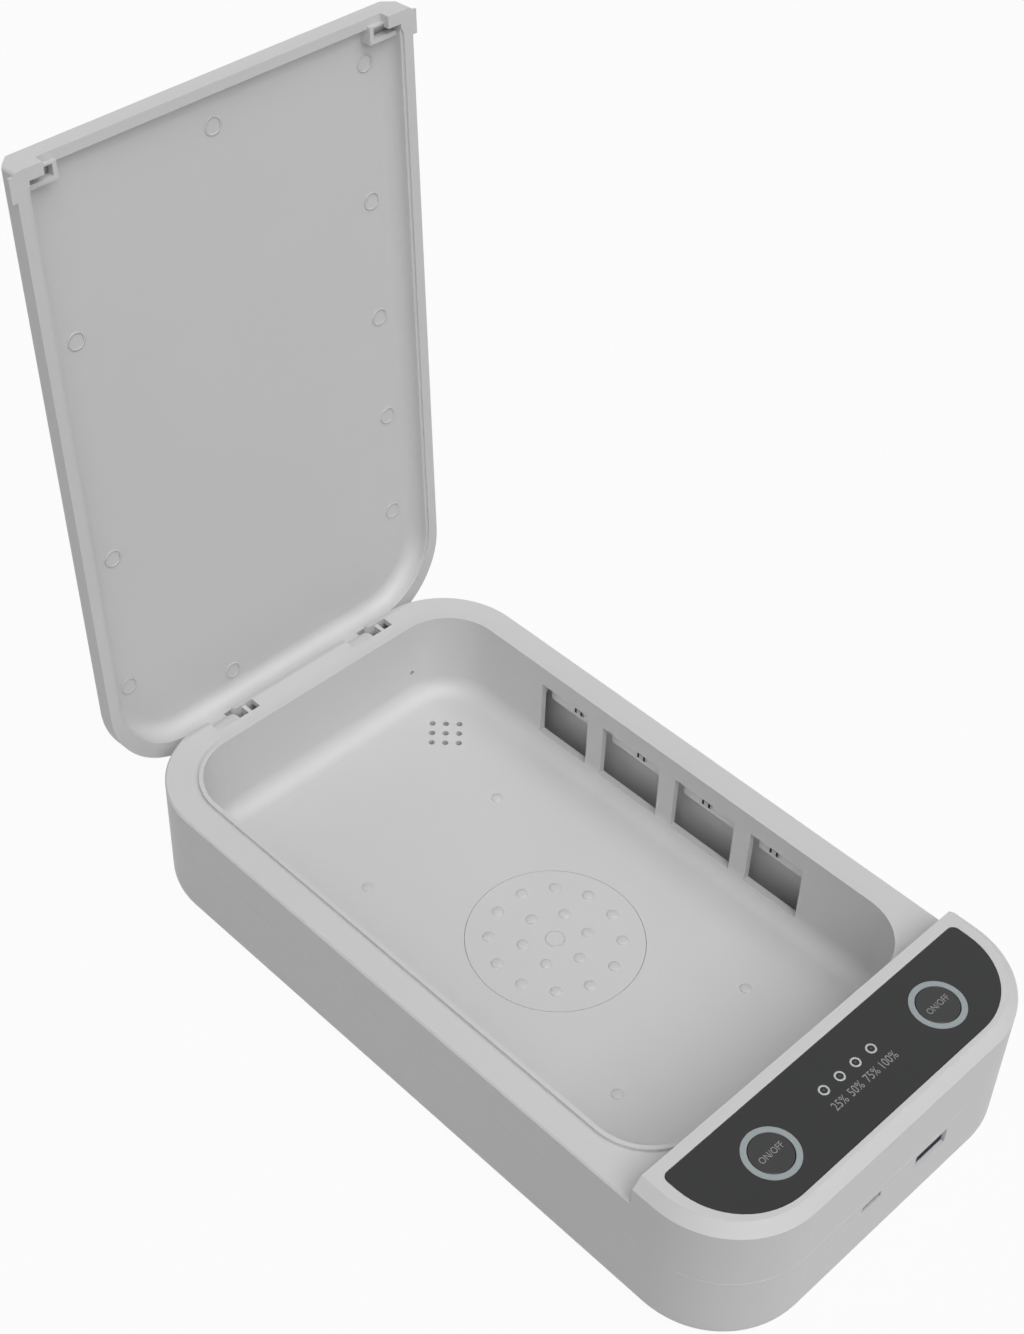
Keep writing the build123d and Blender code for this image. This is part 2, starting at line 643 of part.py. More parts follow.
def indicator_light_pipe():
    """Clear moulding with one post for each indicator light."""
    width, length, height = LIGHT_BAR
    low = (-width / 2, LIGHT_Y - length / 2, ROOF_Z - height)
    pipe = cuboid(low, (width / 2, LIGHT_Y + length / 2, ROOF_Z))
    foot_z = CONTROL_TOP_Z + CHIP_LED[2] + TRAY_GAP
    for x in LIGHT_XS:
        pipe += rod(x, LIGHT_Y, LIGHT_R, foot_z, TOP_Z)
    return pipe


def indicator_leds():
    """Chip LEDs under the light pipe and two under each button ring."""
    width, length, height = CHIP_LED
    places = [(x, LIGHT_Y) for x in LIGHT_XS]
    places += [(x + side * RING_LED_OFFSET, BUTTON_Y) for x in BUTTON_XS for side in (-1, 1)]
    top_z = CONTROL_TOP_Z + height
    return Compound([
        cuboid((x - width / 2, y - length / 2, CONTROL_TOP_Z), (x + width / 2, y + length / 2, top_z))
        for x, y in places
    ])


def lid_sensor():
    """Magnetic sensor at the board's end nearest a lid magnet."""
    width, length, height = SENSOR_SIZE
    high_x = CONTROL_BOARD_WIDTH / 2 - 1
    high_y = CONTROL_Y + CONTROL_BOARD_LENGTH / 2 - 2 * POST_INSET
    low = (high_x - width, high_y - length, CONTROL_TOP_Z)
    return cuboid(low, (high_x, high_y, CONTROL_TOP_Z + height))


def control_board():
    """Board under the panel with four screw holes."""
    half_x = CONTROL_BOARD_WIDTH / 2
    half_y = CONTROL_BOARD_LENGTH / 2
    plan = Pos(0, CONTROL_Y) * RectangleRounded(2 * half_x, 2 * half_y, 3)
    board = slab(plan, CONTROL_TOP_Z - BOARD_THICKNESS, CONTROL_TOP_Z)
    hole_r = BOARD_SCREW_R + CLEARANCE_HOLE_GAP
    return board - [rod(x, y, hole_r, CONTROL_TOP_Z - 2, CONTROL_TOP_Z) for x, y in CONTROL_POSTS]


# ---- Power and connectors ----
def power_board():
    """Board on the lower shell's posts, notched for the sunk outlet."""
    half_x = POWER_BOARD_WIDTH / 2
    half_y = POWER_BOARD_LENGTH / 2
    low = (-half_x, POWER_Y - half_y, PORT_LINE_Z - BOARD_THICKNESS)
    board = cuboid(low, (half_x, POWER_Y + half_y, PORT_LINE_Z))
    board -= usb_a_block(SLIDING_GAP)
    hole_r = BOARD_SCREW_R + CLEARANCE_HOLE_GAP
    return board - [rod(x, y, hole_r, PORT_LINE_Z - 2, PORT_LINE_Z) for x, y in POWER_POSTS]


def drawn_shell(envelope, wall):
    """A folded metal connector shell, open at the front."""
    box = envelope.bounding_box()
    outer = cuboid((box.min.X, PORT_Y, box.min.Z), tuple(box.max))
    outer = fillet(outer.edges().filter_by(Axis.Y), wall)
    low = (box.min.X + wall, PORT_Y, box.min.Z + wall)
    high = (box.max.X - wall, box.max.Y - wall, box.max.Z - wall)
    return outer - cuboid(low, high)


def usb_a_tongue():
    """Contact carrier that stands in the upper half of the outlet."""
    width, length, height = USB_A_TONGUE
    high_z = PORT_LINE_Z - USB_A_SINK + USB_A_SIZE[2] - USB_A_WALL - 0.6
    front_y = PORT_Y + USB_A_TONGUE_BACKSET
    back_y = PORT_Y + USB_A_SIZE[1] - USB_A_WALL
    tongue = cuboid((USB_A_X - width / 2, front_y, high_z - height), (USB_A_X + width / 2, back_y, high_z))
    base_low = (USB_A_X - width / 2, front_y + length, PORT_LINE_Z - USB_A_SINK + USB_A_WALL)
    return tongue + cuboid(base_low, (USB_A_X + width / 2, back_y, high_z))


def micro_usb_tongue():
    """Contact carrier in the inlet."""
    width, length, height = MICRO_TONGUE
    back_y = PORT_Y + MICRO_SIZE[1] - MICRO_WALL
    mid_z = PORT_LINE_Z + MICRO_SIZE[2] / 2
    low = (MICRO_X - width / 2, back_y - length, mid_z - height / 2)
    return cuboid(low, (MICRO_X + width / 2, back_y, mid_z + height / 2))


def board_ribbon():
    """Flat lead between the two boards."""
    width, thickness = RIBBON_SIZE
    y = POWER_Y + POWER_BOARD_LENGTH / 2 - 2 * thickness
    low = (-width / 2, y - thickness, PORT_LINE_Z)
    return cuboid(low, (width / 2, y, CONTROL_TOP_Z - BOARD_THICKNESS))


# ---- Ultraviolet strip ----
def uv_leds():
    """Four ceramic LED packages along the strip."""
    depth, length, height = UV_LED_SIZE
    low_z = UV_BOARD_LOW_Z + UV_LED_LOW
    packages = []
    for i in range(4):
        y = (i - 1.5) * UV_LED_PITCH
        low = (UV_BOARD_X - depth, y - length / 2, low_z)
        packages.append(cuboid(low, (UV_BOARD_X, y + length / 2, low_z + height)))
    return Compound(packages)


def uv_lead():
    """Two-core lead from the power board, round the chamber's corner, to the strip's front end."""
    channel_x = UV_BOARD_X + UV_BOARD_THICKNESS / 2
    run_z = PARTING_Z + 1
    end_z = UV_BOARD_LOW_Z + 4
    start_y = POWER_Y + POWER_BOARD_LENGTH / 4
    route = FilletPolyline(
        (POWER_BOARD_WIDTH / 2 - 6, start_y, PORT_LINE_Z),
        (POWER_BOARD_WIDTH / 2 - 6, start_y, run_z),
        (channel_x, BLOCK_BACK_Y + 3, run_z),
        (channel_x, BLOCK_BACK_Y + 20, end_z),
        (channel_x, -UV_BOARD_LENGTH / 2, end_z),
        radius=LEAD_BEND_R / 2,
    )
    section = Plane(origin=route @ 0, z_dir=route % 0) * Circle(LEAD_R)
    return sweep(section, path=route)


# ---- Chamber floor ----
def floor_disc():
    """Round insert with two rings of dots and a flat centre mark."""
    disc = rod(0, DISC_Y, DISC_R, FLOOR_Z - DISC_THICKNESS, FLOOR_Z)
    disc += rod(0, DISC_Y, DISC_CENTRE_R, FLOOR_Z, FLOOR_Z + DOT_HEIGHT / 2)
    for ring_r, count, first in DISC_DOT_RINGS:
        places = Pos(0, DISC_Y) * PolarLocations(ring_r, count, start_angle=first)
        disc += dots([(p.position.X, p.position.Y) for p in places], FLOOR_Z)
    return disc


def aroma_tray():
    """Open tray on the lower shell's floor, under the scent vent."""
    high_z = TUB_UNDER_Z - TRAY_GAP
    width, length = TRAY_SIZE
    place = Pos(VENT_X, VENT_Y)
    tray = slab(place * RectangleRounded(width, length, 3), SHELL_FLOOR_Z, high_z)
    inside = place * RectangleRounded(width - 2 * TRAY_WALL, length - 2 * TRAY_WALL, 3 - TRAY_WALL)
    return tray - slab(inside, SHELL_FLOOR_Z + TRAY_WALL, high_z)


def aroma_pad():
    """Absorbent pad that fills the tray."""
    width, length = [size - 2 * TRAY_WALL - TRAY_GAP for size in TRAY_SIZE]
    plan = Pos(VENT_X, VENT_Y) * RectangleRounded(width, length, 3 - TRAY_WALL)
    return slab(plan, SHELL_FLOOR_Z + TRAY_WALL, TUB_UNDER_Z - TRAY_GAP - PAD_TOP_GAP)


# ---- Lid ----
def cavity_plan(half_width):
    """The outline of the hollow in the lid at one half width."""
    front_y = LID_FRONT_Y + LID_FRONT_LAND
    back_r = LID_CORNER_R - (LID_HALF_WIDTH - half_width)
    return four_corner_plan(half_width, front_y, ARM_FRONT_Y, LID_INSIDE_R, back_r)


def lid_cavity():
    """The hollow in the lid, stepped at its sides and coved where its walls meet the ceiling."""
    cavity = slab(cavity_plan(CAVITY_X), LAND_Z, CEILING_Z)
    width, depth = LID_STEP
    step = slab(cavity_plan(CAVITY_X + width), LAND_Z, LAND_Z + depth)
    return fillet(top_edges(cavity), LID_COVE_R) + step


def lid_notch():
    """Wide shallow cut in the front wall that clears the chamber's lip."""
    low = (-LID_NOTCH_WIDTH / 2, LID_FRONT_Y - 1, LAND_Z - 1)
    high_y = LID_FRONT_Y + LID_FRONT_LAND + 1
    return cuboid(low, (LID_NOTCH_WIDTH / 2, high_y, LAND_Z + LID_NOTCH_HEIGHT))


def lid():
    """Hollow cover with hinge arms, corner tabs and magnet pockets, drawn shut."""
    outline = four_corner_plan(LID_HALF_WIDTH, LID_FRONT_Y, LID_BACK_Y, LID_FRONT_R, LID_CORNER_R)
    stock = slab(case_plan(LID_INSET), LAND_Z, TOP_Z)
    cover = chamfer(top_edges(stock), LID_CHAMFER) & slab(outline, LAND_Z, TOP_Z)
    cover = cover - lid_cavity() - lid_notch()
    for side in (-1, 1):
        cover = cover - magnet_pocket(side, LAND_Z) + magnet_rib(side) + magnet_hook(side)
    return cover + lid_tabs() + hinge_arms() - arm_holes()


def lid_tabs():
    """Thin tabs beside the front corners that a fingertip lifts the lid by."""
    reach, length, height = LID_TAB
    tabs = []
    for side in (-1, 1):
        ends = sorted((side * (LID_HALF_WIDTH - 1), side * (LID_HALF_WIDTH + reach)))
        low = (ends[0], LID_FRONT_Y + LID_TAB_SETBACK, LAND_Z)
        tabs.append(cuboid(low, (ends[1], LID_FRONT_Y + LID_TAB_SETBACK + length, LAND_Z + height)))
    return tabs


def corner_box(side, width, length, low_z, high_z, sink=0.0):
    """A box in one front corner of the lid's cavity, sunk into the walls that it touches."""
    wall_y = LID_FRONT_Y + LID_FRONT_LAND
    xs = sorted((side * (CAVITY_X + sink), side * (CAVITY_X - width)))
    return cuboid((xs[0], wall_y - sink, low_z), (xs[1], wall_y + length, high_z))


def magnet_pocket(side, low_z, border=0.0, sink=0.0):
    """The space for one of the lid's magnets up to the ceiling, widened by a border."""
    width, length, _ = MAGNET_SIZE
    reach = 2 * MAGNET_GAP + border
    return corner_box(side, width + reach, length + reach, low_z, CEILING_Z + sink, sink)


def magnet_rib(side):
    """L-shaped rib that stands round one magnet."""
    low_z = LAND_Z + MAGNET_RIB_DROP
    return magnet_pocket(side, low_z, MAGNET_RIB, 0.5) - magnet_pocket(side, low_z)


def magnet_hook(side):
    """Pad in the very corner that overhangs one magnet."""
    return corner_box(side, *MAGNET_HOOK, LAND_Z, LAND_Z + MAGNET_RIB_DROP, 0.5)


def hinge_arms():
    """Two arms that reach down from the lid's back land to the axis, each with a rounded heel."""
    arms = []
    for left in SLOT_LEFTS:
        low_x = left + SLOT_SIDE_GAP
        high_x = low_x + ARM_WIDTH
        arms.append(cross_rod(low_x, high_x, KNUCKLE_R))
        arms.append(cuboid((low_x, ARM_FRONT_Y, AXIS_Z), (high_x, AXIS_Y + KNUCKLE_R, LAND_Z + 1)))
        near = cuboid((low_x, AXIS_Y - HEEL_R, AXIS_Z - HEEL_R), (high_x, AXIS_Y, AXIS_Z + HEEL_R))
        arms.append(cross_rod(low_x, high_x, HEEL_R) & near)
    return arms


def arm_holes():
    """Running holes for the pins."""
    return [
        cross_rod(left + SLOT_SIDE_GAP, left + SLOT_SIDE_GAP + ARM_WIDTH, PIN_R + SLIDING_GAP)
        for left in SLOT_LEFTS
    ]


def hinge_pin(left):
    """Steel pin from the slot's left-hand rib, through the arm and the web."""
    high_x = web_low_x(left) + WEB_THICKNESS + PIN_END
    pin = cross_rod(left - PIN_HOLD, high_x, PIN_R)
    return chamfer(pin.faces().sort_by(Axis.X)[-1].edges(), 0.2)


def lid_magnets():
    """Two plate magnets in the slots of the lid's pockets."""
    return Compound([magnet_block(side, CEILING_Z - MAGNET_SIZE[2]) for side in (-1, 1)])


def case_magnets():
    """Two magnets under the rim that pull the lid's magnets."""
    low_z = RIM_Z - RIM_THICKNESS - MAGNET_SIZE[2]
    return Compound([magnet_block(side, low_z) for side in (-1, 1)])


# ---- Screws ----
def case_screws():
    """Four screws from below that hold the halves of the case together."""
    screws = []
    for places, seat_z in ((REAR_SCREWS, REAR_SEAT_Z), (FRONT_SCREWS, FRONT_SEAT_Z)):
        for x, y in places:
            head = rod(x, y, CASE_HEAD_R, seat_z - CASE_HEAD_HEIGHT, seat_z)
            screws.append(head + rod(x, y, CASE_SCREW_R, seat_z, seat_z + CASE_SCREW_LENGTH))
    return Compound(screws)


def board_screws():
    """Four screws up into the control board's posts and four down into the power board's."""
    screws = []
    for x, y in CONTROL_POSTS:
        seat_z = CONTROL_TOP_Z - BOARD_THICKNESS
        head = rod(x, y, BOARD_HEAD_R, seat_z - BOARD_HEAD_HEIGHT, seat_z)
        screws.append(head + rod(x, y, BOARD_SCREW_R, seat_z, seat_z + BOARD_SCREW_LENGTH))
    for x, y in POWER_POSTS:
        head = rod(x, y, BOARD_HEAD_R, PORT_LINE_Z, PORT_LINE_Z + BOARD_HEAD_HEIGHT)
        screws.append(head + rod(x, y, BOARD_SCREW_R, PORT_LINE_Z - BOARD_SCREW_LENGTH, PORT_LINE_Z))
    return Compound(screws)


# ---- Output ----
def main():
    """Write each piece to its own STEP file."""
    os.makedirs("parts", exist_ok=True)
    pieces = {
        "bottom_shell": bottom_shell(),
        "upper_housing": upper_housing(),
        "feet": feet(),
        "control_panel": control_panel(),
        "sterilise_button": button(BUTTON_XS[0]),
        "aroma_button": button(BUTTON_XS[1]),
        "button_light_rings": button_light_rings(),
        "sterilise_plunger": plunger(BUTTON_XS[0]),
        "aroma_plunger": plunger(BUTTON_XS[1]),
        "tact_switches": tact_switches(),
        "indicator_light_pipe": indicator_light_pipe(),
        "indicator_leds": indicator_leds(),
        "lid_sensor": lid_sensor(),
        "control_board": control_board(),
        "power_board": power_board(),
        "usb_a_shell": drawn_shell(usb_a_block(0), USB_A_WALL),
        "usb_a_tongue": usb_a_tongue(),
        "micro_usb_shell": drawn_shell(micro_block(0), MICRO_WALL),
        "micro_usb_tongue": micro_usb_tongue(),
        "board_ribbon": board_ribbon(),
        "uv_board": uv_board(),
        "uv_leds": uv_leds(),
        "uv_lead": uv_lead(),
        "floor_disc": floor_disc(),
        "aroma_tray": aroma_tray(),
        "aroma_pad": aroma_pad(),
        "lid": swing_open(lid()),
        "lid_magnets": swing_open(lid_magnets()),
        "case_magnets": case_magnets(),
        "hinge_pin_left": hinge_pin(SLOT_LEFTS[0]),
        "hinge_pin_right": hinge_pin(SLOT_LEFTS[1]),
        "case_screws": case_screws(),
        "board_screws": board_screws(),
    }
    for name, piece in pieces.items():
        export_step(piece, f"parts/{name}.step")


main()
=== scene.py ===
"""Looks of a table-top ultraviolet sanitizer box for phones, laid out as a Blender add-on."""

import json
import math

import bpy
from mathutils import Matrix, Vector


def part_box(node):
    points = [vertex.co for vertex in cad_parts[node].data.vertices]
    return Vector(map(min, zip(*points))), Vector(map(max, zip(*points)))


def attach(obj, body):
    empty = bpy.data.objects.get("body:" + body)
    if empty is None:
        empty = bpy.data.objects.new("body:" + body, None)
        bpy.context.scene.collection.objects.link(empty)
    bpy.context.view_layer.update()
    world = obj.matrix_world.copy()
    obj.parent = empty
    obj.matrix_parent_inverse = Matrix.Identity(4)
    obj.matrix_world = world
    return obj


bl_info = {
    "name": "Ultraviolet Sanitizer Box",
    "version": (1, 0, 0),
    "blender": (4, 5, 0),
    "location": "View3D > Sidebar > Sanitizer",
    "description": "Dresses the box's frame with its plastics, prints and small fittings",
    "category": "Object",
}

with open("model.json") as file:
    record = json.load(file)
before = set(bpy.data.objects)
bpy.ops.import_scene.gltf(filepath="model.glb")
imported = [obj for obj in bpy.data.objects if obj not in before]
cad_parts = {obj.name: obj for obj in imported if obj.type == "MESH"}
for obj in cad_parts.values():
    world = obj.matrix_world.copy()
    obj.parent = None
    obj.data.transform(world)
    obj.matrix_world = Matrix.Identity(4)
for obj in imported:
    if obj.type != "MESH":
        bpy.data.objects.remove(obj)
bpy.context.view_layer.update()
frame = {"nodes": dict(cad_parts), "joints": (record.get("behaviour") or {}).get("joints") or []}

MM = 0.001
HINGE = next(joint for joint in frame["joints"] if joint["type"] == "hinge")

# Faces and boxes of the CAD that the small pieces are placed from.
PANEL_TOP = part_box("control_panel")[1].z
DOT_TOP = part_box("floor_disc")[1].z
FRONT_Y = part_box("upper_housing")[0].y
LEDS_LOW, LEDS_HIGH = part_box("uv_leds")
TONGUE_LOW, TONGUE_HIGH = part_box("usb_a_tongue")

# Width of the slow drift in a material's colour.
DRIFT_WIDTH = 30 * MM

# Dots on the chamber's floor, and the ring in the middle of the floor disc. The rise is that of
# the CAD's dots, and top faces that lie within the reach of each other are one dot.
DOT_RISE = 0.3 * MM
DOT_REACH = 3.2 * MM
DOME_HEIGHT = 0.52 * MM
CENTRE_RING_RADIUS = 2.75 * MM
CENTRE_RING_BAND = 0.4 * MM
CENTRE_RING_HEIGHT = 0.2 * MM

# Marks inside the lid, in millimetres from the chamber's centre with the lid shut.
MARK_BAND = 0.5 * MM
MARK_HEIGHT = 0.25 * MM
EJECTOR_MARKS = (
    (-0.6, -83.7), (51.9, -83.1), (-51.3, -41.4), (51.3, -41.4), (51.5, -3.2),
    (52.2, 32.0), (-51.3, 29.8), (51.8, 67.7), (-53.0, 76.0), (-16.1, 92.6),
)

# The row of four indicators. A share is of the ink's thickness.
INDICATOR_PITCH = 6.37 * MM
INDICATOR_RING_RADIUS = 1.3 * MM
INDICATOR_RING_BAND = 0.55 * MM
LENS_RADIUS = 1.03 * MM
LENS_SHARE = 0.8
LENS_CENTRE_RADIUS = 0.25 * MM
LENS_CENTRE_SHARE = 0.5

# Printed figures with their places across the panel in millimetres, and the words on the caps. The
# last share is the height of the lettering's figures in the size that its typeface is set at.
FIGURES = (("25%", -9.56), ("50%", -3.19), ("75%", 3.19), ("100%", 9.86))
FIGURE_DROP = 5.4 * MM
FIGURE_WIDTH = 0.82
CAP_WORD = "ON/OFF"
CAP_WORD_HEIGHT = 2.0 * MM
CAP_WORD_WIDTH = 0.85
FACE_FIGURE_SHARE = 0.73

# Ultraviolet LEDs: the package's length, and the thin pads on its front in millimetres. The dark pads
# beside and over each window are painted shade.
LED_COUNT = 4
LED_LENGTH = 3.5 * MM
LED_PAD_STANDOFF = 0.02 * MM
LED_WINDOW = (0.1, 1.6, 1.6)
LED_CONTACT = (0.14, 0.75, 2.0)
LED_CONTACT_OFFSET = 1.2 * MM
LED_SHADE_BAR = (0.12, 2.4, 0.4)
LED_SHADE_BAR_RISE = 0.85 * MM

# Outlet's contacts under its tongue: 2.5 mm apart outside and 2.0 mm inside, in millimetres.
TONGUE_THICKNESS = 1.9 * MM
CONTACT_PLACES = (-3.5, -1.0, 1.0, 3.5)
CONTACT_SIZE = (1.0, 7.0, 0.1)
CONTACT_SINK = 0.05 * MM
CONTACT_SETBACK = 4.0 * MM

# Mouths of the sockets' shells.
SHELL_WALLS = {"usb_a_shell": 0.35 * MM, "micro_usb_shell": 0.3 * MM}
MOUTH_LIP = 0.12 * MM
MOUTH_SETBACK = 0.05 * MM
MOUTH_TAPER = 0.8 * MM

# Stage, in metres. The lamps' directions lead from the box to the lamp; the camera's places are in
# millimetres and its roll in degrees.
FLOOR_REACH = 6.0
FLOOR_SEEN_SHARE = 0.95
LAMP_DISTANCE = 5.0
LAMP_TARGET = (0.0, 0.0, 0.05)
LAMP_DIRECTIONS = {
    "Key lamp": (0.0, -0.5, 0.866),
    "Fill lamp": (-0.5, -0.5, 0.7),
    "Back lamp": (0.0, 0.7, 0.7),
}
CAMERA_PLACE = (-312.3, -286.3, 512.2)
CAMERA_TARGET = (54.12, 65.52, 34.4)
CAMERA_ROLL = 2.39
CAMERA_LENS = 59.85


# ---- Sizes and colours a user would change ----
class MouldingSettings(bpy.types.PropertyGroup):
    abs_colour: bpy.props.StringProperty(
        name="Moulding colour", description="sRGB hex colour of the ABS case", default="#D0D0D0"
    )
    grain: bpy.props.FloatProperty(
        name="Grain", description="Width of the mould's spark grain",
        default=0.7 * MM, subtype="DISTANCE", unit="LENGTH",
    )
    dot_radius: bpy.props.FloatProperty(
        name="Dot radius", description="Radius of the rounded dots that carry the phone",
        default=1.85 * MM, subtype="DISTANCE", unit="LENGTH",
    )
    mark_radius: bpy.props.FloatProperty(
        name="Ejector mark radius", description="Radius of the marks inside the lid",
        default=2.5 * MM, subtype="DISTANCE", unit="LENGTH",
    )


class PanelSettings(bpy.types.PropertyGroup):
    panel_colour: bpy.props.StringProperty(
        name="Panel colour", description="sRGB hex colour of the acrylic panel", default="#171818"
    )
    ink_colour: bpy.props.StringProperty(
        name="Ink colour", description="sRGB hex colour of the printed figures", default="#8E8E8C"
    )
    ring_colour: bpy.props.StringProperty(
        name="Ring colour", description="sRGB hex colour of the light rings", default="#98A1A3"
    )
    figure_height: bpy.props.FloatProperty(
        name="Figure height", description="Height of the printed figures",
        default=2.7 * MM, subtype="DISTANCE", unit="LENGTH",
    )
    ink_thickness: bpy.props.FloatProperty(
        name="Ink thickness", description="Thickness of the printed ink",
        default=0.03 * MM, subtype="DISTANCE", unit="LENGTH",
    )


class StageSettings(bpy.types.PropertyGroup):
    ambient: bpy.props.FloatProperty(
        name="Ambient", description="Strength of the even studio light", default=0.22, min=0.0
    )
    key_power: bpy.props.FloatProperty(
        name="Key power", description="Power of the large soft lamp above the front",
        default=170.0, min=0.0,
    )
    fill_power: bpy.props.FloatProperty(
        name="Fill power", description="Power of the soft lamp above the front left corner",
        default=66.0, min=0.0,
    )
    back_power: bpy.props.FloatProperty(
        name="Back power", description="Power of the soft lamp above the lid's back",
        default=16.0, min=0.0,
    )


# ---- Shader and node tools ----
def linear(hex_colour):
    """An sRGB hex colour as the linear RGBA that a shader socket takes."""
    values = [int(hex_colour[i:i + 2], 16) / 255 for i in (1, 3, 5)]
    return [v / 12.92 if v <= 0.04045 else ((v + 0.055) / 1.055) ** 2.4 for v in values] + [1.0]


def add_node(tree, kind, inputs=None, **settings):
    """Add a node, set its properties, and set or link its inputs."""
    node = tree.nodes.new(kind)
    for name, value in settings.items():
        setattr(node, name, value)
    for key, value in (inputs or {}).items():
        if isinstance(value, bpy.types.NodeSocket):
            tree.links.new(value, node.inputs[key])
        else:
            node.inputs[key].default_value = value
    return node


def new_material(name):
    """An empty node material with its output."""
    material = bpy.data.materials.new(name)
    material.use_nodes = True
    material.node_tree.nodes.clear()
    return material, material.node_tree, add_node(material.node_tree, "ShaderNodeOutputMaterial")


def surface(name, colour, roughness, grain, depth, spread=0.02, metallic=0.0, **shader):
    """A material whose colour drifts over the piece and whose fine grain is a bump.

    grain is the grain's width and depth its height, both in metres. spread is the drift's share of
    the colour. Other keywords name sockets of the shader.
    """
    material, tree, output = new_material(name)
    place = add_node(tree, "ShaderNodeTexCoord").outputs["Object"]
    drift = add_node(
        tree, "ShaderNodeTexNoise", {"Vector": place, "Scale": 1 / DRIFT_WIDTH, "Detail": 3.0}
    )
    fine = add_node(
        tree, "ShaderNodeTexNoise", {"Vector": place, "Scale": 1 / grain, "Detail": 2.0}
    )
    base = linear(colour)
    dark = [c * (1 - spread) for c in base[:3]] + [1.0]
    light = [min(1.0, c * (1 + spread)) for c in base[:3]] + [1.0]
    mixed = add_node(
        tree, "ShaderNodeMix", {0: drift.outputs["Fac"], 6: dark, 7: light}, data_type="RGBA"
    )
    # The roughness follows the grain, within a tenth of its value.
    rough = add_node(
        tree, "ShaderNodeMapRange",
        {0: fine.outputs["Fac"], 1: 0.3, 2: 0.7, 3: roughness * 0.9, 4: roughness * 1.1},
    )
    bump = add_node(
        tree, "ShaderNodeBump", {"Height": fine.outputs["Fac"], "Strength": 1.0, "Distance": depth}
    )
    sockets = {name.replace("_", " "): value for name, value in shader.items()}
    sockets.update({
        "Base Color": mixed.outputs[2],
        "Roughness": rough.outputs[0],
        "Normal": bump.outputs["Normal"],
        "Metallic": metallic,
    })
    principled = add_node(tree, "ShaderNodeBsdfPrincipled", sockets)
    tree.links.new(principled.outputs["BSDF"], output.inputs["Surface"])
    return material


def dress(material, *nodes):
    """Give CAD nodes their finish."""
    for name in nodes:
        data = frame["nodes"][name].data
        data.materials.clear()
        data.materials.append(material)


# ---- Mesh tools ----
def mesh_object(name, vertices, faces=()):
    """A mesh object at the origin, in the scene."""
    mesh = bpy.data.meshes.new(name)
    mesh.from_pydata([tuple(v) for v in vertices], [], [tuple(f) for f in faces])
    mesh.update()
    thing = bpy.data.objects.new(name, mesh)
    bpy.context.scene.collection.objects.link(thing)
    return thing


def grown(name, points, tree, sizes, body):
    """Points turned into a plain mesh by a Geometry Nodes tree with the given input values."""
    source = mesh_object(name, points)
    modifier = source.modifiers.new("Grow", "NODES")
    modifier.node_group = tree
    for item in tree.interface.items_tree:
        if item.item_type == "SOCKET" and item.in_out == "INPUT" and item.name in sizes:
            modifier[item.identifier] = sizes[item.name]
    return plain_mesh(name, source, body)


def plain_mesh(name, source, body, place=None):
    """The evaluated source as a plain mesh object that rides on a body. The source is removed."""
    graph = bpy.context.evaluated_depsgraph_get()
    graph.update()
    mesh = bpy.data.meshes.new_from_object(source.evaluated_get(graph))
    data = source.data
    bpy.data.objects.remove(source)
    (bpy.data.meshes if isinstance(data, bpy.types.Mesh) else bpy.data.curves).remove(data)
    if place:
        mesh.transform(place)
    mesh.name = name
    piece = bpy.data.objects.new(name, mesh)
    bpy.context.scene.collection.objects.link(piece)
    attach(piece, body)
    return piece


def growth_tree(name, inputs):
    """An empty Geometry Nodes tree with named inputs, and its two end nodes."""
    tree = bpy.data.node_groups.new(name, "GeometryNodeTree")
    tree.interface.new_socket("Geometry", in_out="INPUT", socket_type="NodeSocketGeometry")
    for label, kind in inputs:
        tree.interface.new_socket(label, in_out="INPUT", socket_type=kind)
    tree.interface.new_socket("Geometry", in_out="OUTPUT", socket_type="NodeSocketGeometry")
    return tree, add_node(tree, "NodeGroupInput"), add_node(tree, "NodeGroupOutput")


def finish_growth(tree, start, end, instance):
    """Put the instance on the input's points, realize it and give it its material."""
    points = add_node(tree, "GeometryNodeMeshToPoints", {"Mesh": start.outputs["Geometry"]})
    placed = add_node(
        tree, "GeometryNodeInstanceOnPoints", {"Points": points.outputs[0], "Instance": instance}
    )
    real = add_node(tree, "GeometryNodeRealizeInstances", {"Geometry": placed.outputs[0]})
    painted = add_node(
        tree, "GeometryNodeSetMaterial",
        {"Geometry": real.outputs[0], "Material": start.outputs["Material"]},
    )
    tree.links.new(painted.outputs[0], end.inputs[0])
    return tree


def ring_tree():
    """Flat rings of a given radius, band width and height on points."""
    tree, start, end = growth_tree("Rings on points", [
        ("Radius", "NodeSocketFloat"), ("Band", "NodeSocketFloat"),
        ("Height", "NodeSocketFloat"), ("Material", "NodeSocketMaterial"),
    ])
    circle = add_node(
        tree, "GeometryNodeCurvePrimitiveCircle",
        {"Resolution": 64, "Radius": start.outputs["Radius"]},
    )
    section = add_node(
        tree, "GeometryNodeCurvePrimitiveQuadrilateral",
        {"Width": start.outputs["Band"], "Height": start.outputs["Height"]},
    )
    ring = add_node(
        tree, "GeometryNodeCurveToMesh",
        {"Curve": circle.outputs["Curve"], "Profile Curve": section.outputs[0]},
    )
    return finish_growth(tree, start, end, ring.outputs[0])


def pad_tree():
    """Rectangular pads of a given size on points."""
    tree, start, end = growth_tree("Pads on points", [
        ("Size", "NodeSocketVector"), ("Material", "NodeSocketMaterial"),
    ])
    block = add_node(tree, "GeometryNodeMeshCube", {"Size": start.outputs["Size"]})
    return finish_growth(tree, start, end, block.outputs["Mesh"])


